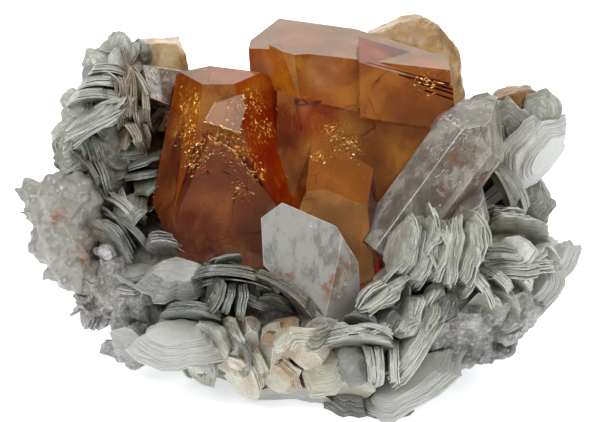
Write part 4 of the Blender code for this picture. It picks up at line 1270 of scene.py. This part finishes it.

# %% [markdown]
# ## Veils, gold and red zones
# The colour inside a real crystal changes from place to place. Healed cracks make golden veils near
# the top and in the lower body, partly their own colour and partly a painted glow of the light they
# throw back, and the shaded parts turn dark red as painted shade. Soft balls give these zones their
# place. The veils are listed with their flakes, which are built further down.

# %% Zones of the scheelite
# Each row is a centre in millimetres, a radius, how many flakes lie round it and which way they run.
GLINTS = {
    "under the sloping face": ((-12.8, -10, 45.4), 3.4, 200, (1, 0, -0.6)),
    "along the crack, left": ((-10, -10.5, 42.2), 2.4, 90, (1, 0, -1)),
    "along the crack, right": ((-7.5, -11.5, 39.7), 2.2, 80, (1, 0, -1)),
    "left cluster": ((-18, -10, 41.2), 2.4, 120, (1, 0, 0.5)),
    "left cluster, upper": ((-16.2, -10, 43.8), 2.2, 90, (1, 0, 0.7)),
    "left bevel, top": ((-18.8, -6, 50), 3.2, 90, (0.15, 0, -1)),
    "left bevel, middle": ((-19.5, -8, 45.5), 3.4, 70, (0.2, 0, -1)),
    "sloping face": ((-11, -8.8, 50), 2.4, 50, (0.7, 0, 1)),
    "right of the sloping face": ((-7.8, -5.5, 50.6), 2.8, 60, (0.5, 0, 1)),
    "right front": ((-6.6, -7.4, 46), 3.0, 45, (0.4, 0, -1)),
    "middle cluster": ((-10, -13, 36.8), 1.6, 60, (1, 0, -0.3)),
    "veil in the lower body": ((5.2, -6.4, 45.2), 2.0, 110, (1, 0, 0.7)),
    "veil, right": ((8.6, -7, 42.6), 2.6, 110, (1, 0, -0.4)),
    "veil, left": ((3.2, -8.2, 41), 1.6, 60, (1, 0, 0.8)),
    "sunken strip": ((22, -3, 53), 2.6, 50, (1, 0, -0.2)),
    "lens": ((-2.6, -8.5, 37.8), 0.25, 8, (0.8, 0, -1)),
}
RED = (0.32, 0.022, 0.002)
ORANGE = (0.44, 0.085, 0.006)
GOLDEN = (0.60, 0.23, 0.02)
GLINT_FOIL_GOLD = (0.90, 0.46, 0.07)
CRACK_BROWN = (0.12, 0.014, 0.002)
RUSSET = (0.16, 0.03, 0.012)
BRICK = (0.26, 0.045, 0.015)
STRAW = (0.62, 0.30, 0.11)
# Each row is a centre in millimetres, a radius, a colour and how much it covers. The gold zones lie
# under the facet colours and the red ones over them.
# The gold zones are partly the veils' own colour and partly a painted glow of the light they throw back.
GOLD_ZONES = [
    ((-18.5, -6, 50), 4, GOLDEN, 0.7),
    ((9, -7, 44), 5, GOLDEN, 0.6),
    ((-12.5, -10, 44.5), 4, GOLDEN, 0.5),
    ((-18, -9, 41.5), 3.5, GOLDEN, 0.5),
    ((-6, -12, 38.5), 4, GOLDEN, 0.35),
]
# Apart from the straw row, the red zones are painted shade laid on the shaded parts of the crystal.
RED_ZONES = [
    ((-4, -5, 45), 7, DARK_RED, 0.85),
    ((3, -6, 47), 5, DEEP_RED, 0.6),
    ((-18.5, -15, 30.5), 6, RUSSET, 0.75),
    ((-14, -15, 22), 6, BRICK, 0.5),
    ((3.5, -3.5, 55), 4.5, STRAW, 0.6),
]
print("zones:", len(GOLD_ZONES), "gold,", len(RED_ZONES), "red,", len(GLINTS), "veils")

# %% [markdown]
# ## Cracks and absorption
# Fine cracks could be cut as geometry, but there are too many. The edges of a bent cell pattern
# draw them instead. The absorbing medium takes light away along its path, so that a thick part of
# a crystal is deeper in colour than a thin one.

# %% Cracks and absorption
CRACK_LINE = 0.013
CRACK_BEND = 0.6


def cracks(tree, size, part):
    """Thin bent lines in places, from a cell pattern; size is the cell in metres."""
    place = stretched(tree)
    bent = add_node(tree, "ShaderNodeTexNoise", {"Vector": place, "Scale": 1 / size, "Detail": 3.0})
    moved = add_node(tree, "ShaderNodeVectorMath", {
        0: bent.outputs["Color"], 1: (CRACK_BEND * size,) * 3, 2: place}, operation="MULTIPLY_ADD")
    cells = add_node(tree, "ShaderNodeTexVoronoi", {"Vector": moved.outputs["Vector"], "Scale": 1 / size},
                     feature="DISTANCE_TO_EDGE")
    line = fade(tree, cells.outputs["Distance"], CRACK_LINE * 0.4, CRACK_LINE, 1.0, 0.0)
    return multiply(tree, line, fade(tree, bent.outputs["Fac"], 0.6 - part, 0.65 - part))


def absorb(tree, colour, density):
    """Fills the piece with a medium that takes light away along its path."""
    volume = add_node(tree, "ShaderNodeVolumeAbsorption")
    volume.inputs["Color"].default_value = (*colour, 1)
    volume.inputs["Density"].default_value = density
    tree.links.new(volume.outputs["Volume"], tree.nodes["Material Output"].inputs["Volume"])


print("cracks are", CRACK_LINE, "of a cell wide")

# %% [markdown]
# ## The colour of the scheelite
# The body's colour is built up in layers: a cloudy ground, the gold zones, the facet's colour, the
# red zones of painted shade, and then threads, cracks and gold foil, which is a painted glint. Each
# layer is blended over the ones before it by a mask, which is easier to follow and to change than
# one large formula.


# %% Scheelite body
def lay_zones(tree, body, rows):
    """Lays the colour of each zone over the body."""
    for centre, radius, colour, share in rows:
        body = blend_colours(tree, multiply(tree, zone(tree, centre, radius, 0.6), share), body, colour)
    return body


def any_zone(tree, balls, soft):
    """A mask for several soft balls, each a centre in millimetres and a radius."""
    mask = 0.0
    for centre, radius in balls:
        mask = calculate(tree, "MAXIMUM", zone(tree, centre, radius, soft), mask)
    return mask


def scheelite_body(tree, cloud, fibres, facet, dull, glint_foil):
    """The colour of the crystal, layer upon layer."""
    body = colour_ramp(tree, cloud, (0.36, RED), (0.52, ORANGE), (0.68, GOLDEN))
    body = lay_zones(tree, body, GOLD_ZONES)
    # The facet colours go over the ground; on the upward faces they are painted reflections.
    cover = multiply(tree, facet.outputs["Alpha"], fade(tree, cloud, 0.3, 0.7, 1.0, 0.8))
    body = blend_colours(tree, cover, body, facet.outputs["Color"])
    body = lay_zones(tree, body, RED_ZONES)
    threads = multiply(tree, fade(tree, fibres, 0.5, 0.75, 0.0, 0.45),
                       calculate(tree, "SUBTRACT", 1.0, multiply(tree, dull, 0.7)))
    body = blend_colours(tree, threads, body, GOLDEN)
    body = blend_colours(tree, multiply(tree, cracks(tree, 0.008, 0.1), 0.6), body, CRACK_BROWN)
    return blend_colours(tree, glint_foil, body, GLINT_FOIL_GOLD)


print("layers of the body: ground, gold zones, facets, red zones, threads, cracks, foil")

# %% [markdown]
# ## The scheelite material
# Scheelite bends light strongly, so it gets a high index. A plain glass would be clearer than the
# crystal is: less light goes through where a facet has a colour of its own, is dull or has foil
# on it, and the dull facets are rough.

# %% Scheelite material
SCHEELITE_IOR = 1.92
VEIL_SPREAD = 1.25


def scheelite_material():
    """Orange crystal that light goes through, less so where a facet is dull."""
    material, tree, shader = start_material("scheelite_orange", IOR=SCHEELITE_IOR)
    place = stretched(tree)
    cloud = grain(tree, place, 0.009, 4.0, 0.55, 0.3)
    fibres = grain(tree, stretched(tree, (1, 1, 0.15), (0, radians(8), 0)), 0.0009, 3.0, 0.6)
    facet = add_node(tree, "ShaderNodeAttribute", attribute_name="facet")
    dull = stored(tree, "dull")
    flecks = grain(tree, stretched(tree, (1, 1, 0.5), (0, radians(35), 0)), 0.0005, 3.0, 0.7, 0.5)
    veils = [(centre, radius * VEIL_SPREAD) for centre, radius, _, _ in GLINTS.values()]
    # The foil is a painted glint: bright gold flecks in the veils.
    glint_foil = multiply(tree, fade(tree, flecks, 0.54, 0.68), any_zone(tree, veils, 0.8))
    tree.links.new(scheelite_body(tree, cloud, fibres, facet, dull, glint_foil), shader.inputs["Base Color"])
    clear = fade(tree, cloud, 0.35, 0.7, 0.88, 0.6)
    for mask, share in ((facet.outputs["Alpha"], 0.25), (dull, 0.6), (glint_foil, 0.35)):
        clear = calculate(tree, "SUBTRACT", clear, multiply(tree, mask, share))
    tree.links.new(calculate(tree, "MAXIMUM", clear, 0.0), shader.inputs["Transmission Weight"])
    gloss = fade(tree, grain(tree, place, 0.002, 3.0), 0.3, 0.7, 0.03, 0.14)
    tree.links.new(calculate(tree, "ADD", gloss, multiply(tree, dull, 0.6)), shader.inputs["Roughness"])
    tree.links.new(calculate(tree, "SUBTRACT", 0.5, multiply(tree, dull, 0.5)),
                   shader.inputs["Specular IOR Level"])
    tree.links.new(bump(tree, (fibres, 0.000012), (cloud, 0.0001)), shader.inputs["Normal"])
    absorb(tree, (1.0, 0.42, 0.07), 100)
    return material


SCHEELITE = scheelite_material()
print("scheelite nodes:", len(SCHEELITE.node_tree.nodes))

# %% [markdown]
# ## Pale and brown scheelite
# The crystals behind and at the sides are milky and honey coloured. They are cloudy near the
# surface, so less than half of the light goes through.


# %% Amber material
def amber_material(name, dark, middle, light):
    """Pale crystal, milky near its surface."""
    material, tree, shader = start_material(name, IOR=SCHEELITE_IOR)
    cloud = grain(tree, stretched(tree), 0.005, 4.0, 0.6, 0.3)
    streaks = grain(tree, stretched(tree, (1, 1, 0.5)), 0.0014, 3.0)
    body = colour_ramp(tree, cloud, (0.3, dark), (0.52, middle), (0.72, light))
    body = blend_colours(tree, fade(tree, streaks, 0.5, 0.7, 0.0, 0.4), body, light)
    tree.links.new(body, shader.inputs["Base Color"])
    tree.links.new(fade(tree, cloud, 0.35, 0.65, 0.5, 0.2), shader.inputs["Transmission Weight"])
    tree.links.new(fade(tree, streaks, 0.3, 0.7, 0.15, 0.4), shader.inputs["Roughness"])
    tree.links.new(bump(tree, (cloud, 0.0003)), shader.inputs["Normal"])
    absorb(tree, (1.0, 0.72, 0.38), 30)
    return material


AMBER = amber_material("scheelite_amber", (0.52, 0.28, 0.08), (0.68, 0.44, 0.18), (0.82, 0.66, 0.43))
BROWN_AMBER = amber_material("scheelite_brown_amber", (0.22, 0.09, 0.018), (0.32, 0.15, 0.035),
                             (0.42, 0.26, 0.11))
print("amber materials:", AMBER.name, BROWN_AMBER.name)

# %% [markdown]
# ## Crystals from the solids
# A crystal's flat faces are right as they are, but its edges are too sharp to catch light. The
# solid's copy gets its flat faces back from its triangles, and then a narrow bevel. Cracks and
# steps are thin wedges cut into it first, with an exact Boolean.


# %% Cutters
def wedge_cut(bm, start, end, out, width, depth):
    """A thin wedge along a line on a face: out points away from the crystal, lengths in mm."""
    start, end, out = Vector(start), Vector(end), Vector(out).normalized()
    line = (end - start).normalized()
    side = line.cross(out).normalized()
    made = bmesh.ops.create_cone(bm, cap_ends=True, segments=4, radius1=1, radius2=1, depth=1)
    axes = Matrix((side * width / 2, out * depth, line * (end - start).length))
    place = Matrix.Translation((start + end) / 2 * MM) @ Matrix.Scale(MM, 4) @ axes.transposed().to_4x4()
    bmesh.ops.transform(bm, matrix=place, verts=made["verts"])


def facet_cut(bm, corners, out, height):
    """A prism that stands on a tilted facet, whose corners are millimetres, and reaches outwards."""
    made = bmesh.ops.create_circle(bm, cap_ends=True, segments=len(corners), radius=1)["verts"]
    for vert, corner in zip(made, corners):
        vert.co = Vector(corner) * MM
    face = made[0].link_faces[0]
    raised = bmesh.ops.extrude_face_region(bm, geom=[face])["geom"]
    top = [part for part in raised if isinstance(part, bmesh.types.BMVert)]
    bmesh.ops.translate(bm, verts=top, vec=Vector(out) * height * MM)


def cut_crystal(name, node, cuts, facets):
    """A merged copy of a solid with every cut taken out of it."""
    source = loose_object(name + "_source", merged(node))
    if not cuts and not facets:
        return applied(source)
    bm = bmesh.new()
    for cut in cuts:
        wedge_cut(bm, *cut)
    for corners, out, height in facets:
        facet_cut(bm, corners, out, height)
    bmesh.ops.recalc_face_normals(bm, faces=bm.faces[:])
    cutter = loose_object(name + "_cuts", bm)
    add_boolean(source, "DIFFERENCE", cutter)
    made = applied(source)
    bpy.data.objects.remove(cutter)
    return made


print("cutters: wedges for cracks and steps, prisms for small growth faces")

# %% Smooth crystals
EDGE_BEVEL = 0.14 * MM
SEAM = 2e-6
FLAT_ANGLE, SHARP_ANGLE = radians(1), radians(8)


def crystal(name, node, material, slot, cuts=(), facets=(), bevel=EDGE_BEVEL):
    """A crystal in place of its solid, with flat faces and narrow bevelled edges."""
    bm = cut_crystal(name, node, cuts, facets)
    bmesh.ops.remove_doubles(bm, verts=bm.verts[:], dist=SEAM)
    bmesh.ops.dissolve_limit(bm, angle_limit=FLAT_ANGLE, verts=bm.verts[:], edges=bm.edges[:])
    colour_facets(bm)
    edge_layer = bm.faces.layers.float.new("edge")
    for face in bm.faces:
        face[edge_layer] = 0
    sharp = [edge for edge in bm.edges if edge.is_manifold and edge.calc_face_angle(0) > SHARP_ANGLE]
    made = bmesh.ops.bevel(bm, geom=sharp, offset=bevel, segments=1, profile=0.5, affect="EDGES",
                           material=-1, clamp_overlap=True)
    for face in made["faces"]:
        face[edge_layer] = 1
    bmesh.ops.triangulate(bm, faces=[face for face in bm.faces if len(face.verts) > 4])
    finish_piece(name, bm, material, slot, node, sharp=2)


print("edges get a bevel of", round(1000 * EDGE_BEVEL, 2), "mm")

# %% [markdown]
# ## Etched crystals
# Some of the crystals have no flat faces left, because they were etched. Their solids are remeshed
# into even faces and pushed in and out by a cell pattern, as the massive mica is.

# %% Etched crystals
ETCHED_IN, ETCHED_OUT = 0.8, 0.3


def rough_crystal(name, node, material, slot, voxel, knob, swell, grit, most=ETCHED_OUT):
    """A crystal with an etched, knobbly skin; all lengths are millimetres."""
    source = loose_object(name + "_source", merged(node))
    add_remesh(source, voxel)
    bm = applied(source)
    bm.normal_update()
    for entry in ("edge", "facet", "dull"):
        bm.verts.layers.float.new(entry)
    for vert in bm.verts:
        level = min(knobbly(vert.co, knob, swell, grit, 900, 3), most)
        vert.co += vert.normal * max(-ETCHED_IN, level) * MM
    stay_in_box(bm)
    finish_piece(name, bm, material, slot, node, sharp=50)


print("etched skins go", ETCHED_IN, "mm in and", ETCHED_OUT, "mm out, unless told otherwise")

# %% [markdown]
# ## The scheelite crystals
# The pair is two crystals that grew as one. Open cracks cross the front face, three steps are sunk
# in the right end of the upper crystal, and a small growth face stands where the two meet. Each
# cut is a line with the direction it opens in, its width and its depth in millimetres.

# %% Scheelites
FRONT_OUT = (0, -0.9, 0.35)
PAIR_CUTS = [
    ((-13.4, -12.0, 40.1), (-12.0, -12.3, 39.3), FRONT_OUT, 0.14, 0.5),
    ((-10.8, -12.9, 37.2), (-11.5, -13.7, 34.3), FRONT_OUT, 0.14, 0.5),
    ((-11.5, -13.7, 34.3), (-11.7, -14.4, 31.5), FRONT_OUT, 0.12, 0.4),
    ((-9.8, -12.9, 37.7), (-8.2, -13.3, 36.4), FRONT_OUT, 0.14, 0.5),
    ((-17.2, -11.6, 40.9), (-15.1, -12.2, 39.1), FRONT_OUT, 0.14, 0.4),
    ((-20.6, -12.8, 35.8), (-21.4, -14.0, 30.8), FRONT_OUT, 0.12, 0.4),
    ((-16.4, -15.0, 28.4), (-10.3, -15.5, 27.5), FRONT_OUT, 0.12, 0.4),
    ((1.2, -11.4, 39.5), (0.9, -12.9, 35.5), FRONT_OUT, 0.16, 0.5),
    ((3.8, -11.3, 38.9), (5.0, -11.7, 37.6), FRONT_OUT, 0.14, 0.5),
    ((-16.5, -9.8, 46.3), (-11.7, -10.7, 43.5), FRONT_OUT, 0.4, 0.9),
    ((-11.8, -10.7, 43.6), (-6.3, -12.6, 37.4), FRONT_OUT, 0.4, 0.9),
    ((11.5, -4.2, 56.9), (25.9, -2.6, 52.4), (0, -1, 0.2), 0.9, 1.0),
    ((17, -3.8, 54.6), (26.5, -2.8, 51.5), (0, -1, 0.2), 0.45, 0.9),
    ((20.5, -3.4, 52.9), (26.5, -2.9, 50.8), (0, -1, 0.2), 0.4, 0.8),
    ((21.6, -3.5, 51.6), (26.5, -3.0, 49.8), (0, -1, 0.2), 0.35, 0.8),
    ((4.4, 8, 59.2), (7.0, 3, 58.6), (0, 0, 1), 0.3, 0.5),
    ((7.0, 3, 58.6), (7.8, 0, 58.0), (0.3, 0, 1), 0.3, 0.5),
    ((10.2, 7, 58.4), (10.0, -2.6, 57.5), (0, 0, 1), 0.3, 0.6),
    ((8.7, -4.0, 57.3), (9.2, -5.8, 48.2), (0, -1, 0.2), 0.8, 0.9),
]
# Each small growth face is its corners, the direction it opens in and how far its prism reaches.
PAIR_FACETS = [
    (((-1.1, -2.6, 50.0), (3.8, -3.0, 49.6), (1.7, -3.9, 47.8), (0.1, -5.5, 44.75)), (0, -1, 0.3), 6),
]
crystal("scheelite_crystals", "scheelite_pair", SCHEELITE, "scheelite", PAIR_CUTS, PAIR_FACETS)
rough_crystal("scheelite_behind", "scheelite_back", AMBER, "pale_scheelite", 0.5, 6, 1.3, 0.12)
rough_crystal("scheelite_left", "scheelite_small_left", AMBER, "pale_scheelite", 0.35, 4, 0.5, 0.1)
rough_crystal("scheelite_right", "scheelite_small_right", BROWN_AMBER, "pale_scheelite", 0.35, 4, 0.7, 0.15)

# %% [markdown]
# ## Glints in the scheelite
# Thin cracks inside the crystal shine like gold leaf. Each is a tiny plate just under the face,
# set at a random slant so that some of them flash towards the viewer, and its bright gold is a
# painted glint.

# %% Gold flakes
FLAKE_SHORTEST, FLAKE_LONGEST = 0.08, 0.8
FLAKE_WIDTHS = (0.04, 0.15)
FLAKE_THICKNESS = 0.04
FLAKE_DEPTHS = (0.03, 0.25)


def flake_material(name, *stops):
    """Thin plates in a few tints, whose bright colour is a painted glint."""
    material, tree, shader = start_material(name, Metallic=0.3, Roughness=0.25)
    tree.links.new(colour_ramp(tree, grain(tree, stretched(tree), 0.0006, 2.0), *stops),
                   shader.inputs["Base Color"])
    return material


def strew_flakes(name, node, rows, material, slot):
    """Tiny plates just under the faces of a crystal, in loose lines."""
    surface = crystal_surfaces[node]
    flakes = bmesh.new()
    for centre, radius, count, run in rows.values():
        for _ in range(count):
            offset = Vector([DRAW.gauss(0, 0.5) for _ in range(3)]) * radius
            face, normal, _, _ = surface.find_nearest((Vector(centre) + offset) * MM)
            out = (normal + Vector([DRAW.gauss(0, 0.3) for _ in range(3)])).normalized()
            aim = Vector(run) + Vector([DRAW.gauss(0, 0.35) for _ in range(3)])
            line = out.cross(aim.cross(out)).normalized()
            half = DRAW.uniform(FLAKE_SHORTEST ** 0.5, FLAKE_LONGEST ** 0.5) ** 2
            axes = Matrix((line * half, out.cross(line) * DRAW.uniform(*FLAKE_WIDTHS),
                           out * FLAKE_THICKNESS))
            made = bmesh.ops.create_cone(flakes, cap_ends=True, segments=6, radius1=1, radius2=0.8,
                                         depth=1)
            place = Matrix.Translation(face - normal * DRAW.uniform(*FLAKE_DEPTHS) * MM)
            bmesh.ops.transform(flakes, matrix=place @ Matrix.Scale(MM, 4) @ axes.transposed().to_4x4(),
                                verts=made["verts"])
    finish_piece(name, flakes, material, slot)


GOLD_GLINT = flake_material("scheelite_glint", (0.35, (1.0, 0.36, 0.04)), (0.5, (1.0, 0.62, 0.16)),
                            (0.65, (1.0, 0.92, 0.66)))
strew_flakes("scheelite_glints", "scheelite_pair", GLINTS, GOLD_GLINT, "scheelite")

# %% [markdown]
# ## Quartz
# Quartz is clear with a cool grey cast. Milky clouds and pinkish brown patches sit in parts of
# it, so the shader's transmission falls where a cloud is, and the colour turns there.

# %% Quartz material
QUARTZ_IOR = 1.54
PINKISH_BROWN = (0.42, 0.21, 0.11)
EDGE_FROST_AND_HIGHLIGHT = (0.80, 0.80, 0.79)


def quartz_material(name, milky, tint_zones, density, cloudy, grey):
    """Clear quartz; milky says how far its clouds go and each tint zone is (centre, radius)."""
    material, tree, shader = start_material(name, IOR=QUARTZ_IOR)
    cloud = grain(tree, stretched(tree, (1, 1, 0.6)), 0.004, 5.0, 0.65, 0.5)
    haze = grain(tree, stretched(tree, (1, 1, 0.25), (0, radians(-38), 0)), 0.0016, 5.0, 0.7)
    mixed = calculate(tree, "ADD", multiply(tree, cloud, 0.6), multiply(tree, haze, 0.4))
    veils = fade(tree, mixed, 0.5 - milky * 0.25, 0.75 - milky * 0.25)
    body = blend_colours(tree, veils, cloudy, grey)
    speck = fade(tree, grain(tree, stretched(tree), 0.002, 4.0, 0.65), 0.42, 0.62)
    tint = multiply(tree, any_zone(tree, tint_zones, 0.7), speck)
    body = blend_colours(tree, tint, body, PINKISH_BROWN)
    veils = calculate(tree, "MAXIMUM", veils, multiply(tree, tint, 0.7))
    edge = stored(tree, "edge")
    # Bevel faces turn white: partly frosted edges, partly a painted highlight along the ridges.
    body = blend_colours(tree, multiply(tree, edge, 0.25), body, EDGE_FROST_AND_HIGHLIGHT)
    tree.links.new(body, shader.inputs["Base Color"])
    clear = fade(tree, veils, 0.0, 1.0, 1.0 - 0.3 * milky, 1.0 - 0.6 * min(1, milky + 0.4))
    clear = calculate(tree, "SUBTRACT", clear, multiply(tree, edge, 0.2), clamp=True)
    tree.links.new(clear, shader.inputs["Transmission Weight"])
    fine = grain(tree, stretched(tree), 0.0015, 3.0)
    tree.links.new(fade(tree, fine, 0.35, 0.7, 0.02, 0.12 + milky * 0.2), shader.inputs["Roughness"])
    tree.links.new(bump(tree, (cloud, 0.0002), (fine, 0.00004)), shader.inputs["Normal"])
    absorb(tree, (0.88, 0.86, 0.80), density)
    return material


print("index of quartz:", QUARTZ_IOR)

# %% [markdown]
# ## The finishes of the quartz
# The tall prism is the clearest, the stout one in front is cloudy, the cluster and the low points
# are milky, and the stub behind the mica is smoky. Each finish is its share of clouds, its pinkish
# brown patches as (centre in millimetres, radius), how strongly it absorbs, and its cloudy and grey
# tones.

# %% Quartz finishes
CLEAR = quartz_material("quartz_clear", 0.36, [((28, -11, 42), 5.5), ((30, -9, 37), 4.5), ((24, -13, 36), 4)],
                        8, (0.80, 0.76, 0.67), (0.60, 0.56, 0.47))
CLOUDY = quartz_material("quartz_cloudy", 0.7, [((6, -23, 24.5), 5.5), ((-3, -23, 25), 4)], 6,
                         (0.68, 0.668, 0.63), (0.53, 0.52, 0.475))
SMOKY = quartz_material("quartz_smoky", 0.6, [((-24, 3, 50), 8)], 600,
                        (0.24, 0.195, 0.14), (0.11, 0.08, 0.05))
MILKY = quartz_material("quartz_milky", 1.0, [((-38, -10, 24), 4.5), ((-42, -8, 30), 4)], 6,
                        (0.68, 0.67, 0.615), (0.44, 0.425, 0.37))
TIPS = quartz_material("quartz_tips", 0.9, [((-4, -27, 18.5), 3), ((-9, -26, 18.5), 3)], 6,
                       (0.84, 0.82, 0.72), (0.60, 0.57, 0.45))
print("quartz finishes:", [finish.name for finish in (CLEAR, CLOUDY, SMOKY, MILKY, TIPS)])

# %% [markdown]
# ## The quartz crystals
# Quartz is harder than scheelite and keeps sharper edges, so its bevel is narrower. The smoky stub
# ends in a slanting face, which a tilted prism cuts. The cluster is etched and knobbly.

# %% Quartz crystals
QUARTZ_BEVEL = 0.08 * MM
SLANTING_TOP = [
    (((-29.5, 3, 54.4), (-19.5, 3, 52.8), (-19.5, 11, 50.2), (-29.5, 11, 51.2)), (0, 0, 1), 8),
]
crystal("quartz_long", "quartz_tall", CLEAR, "quartz", bevel=QUARTZ_BEVEL)
crystal("quartz_stub", "quartz_small_right", CLEAR, "quartz", bevel=QUARTZ_BEVEL)
crystal("quartz_stout", "quartz_front", CLOUDY, "quartz", bevel=QUARTZ_BEVEL)
crystal("quartz_grey", "quartz_smoky_left", SMOKY, "quartz", (), SLANTING_TOP)
crystal("quartz_points", "quartz_low_front", TIPS, "milky_quartz", bevel=QUARTZ_BEVEL)
rough_crystal("quartz_cluster", "quartz_cluster_left", MILKY, "milky_quartz", 0.45, 3.0, 2.2, 0.3, 0.9)

# %% [markdown]
# ## Glints in the quartz
# Small cracks in the clear quartz show as white sparks, a painted glint. They are made as the gold
# flakes of the scheelite are, in a white of their own.

# %% Glints in the quartz
QUARTZ_GLINTS = {
    "top": ((25.5, -8, 49), 2.6, 60, (0.7, 0, 0.7)),
    "upper left": ((22.5, -11, 44), 2.6, 50, (0.7, 0, 0.7)),
    "upper middle": ((28, -10, 45.5), 3, 50, (0.7, 0, 0.7)),
    "right edge": ((32, -9, 39), 2.6, 45, (0.7, 0, 0.7)),
    "middle": ((25, -13, 38), 3.5, 30, (0.7, 0, 0.7)),
}
FRONT_GLINTS = {
    "upper right": ((1.8, -21.3, 34), 1.5, 26, (1, 0, -0.25)),
    "right edge": ((8.8, -21.5, 28.5), 1.8, 22, (0.5, 0, -1)),
    "low right": ((8.5, -22.5, 23), 2, 24, (1, 0, 0.3)),
    "low middle": ((3.5, -23.5, 26.5), 1.4, 14, (0.8, 0, 0.6)),
}
GLINT = flake_material("quartz_glint", (0.35, (0.75, 0.72, 0.68)), (0.65, (1.0, 1.0, 1.0)))
strew_flakes("quartz_glints", "quartz_tall", QUARTZ_GLINTS, GLINT, "quartz")
strew_flakes("quartz_front_glints", "quartz_front", FRONT_GLINTS, GLINT, "quartz")
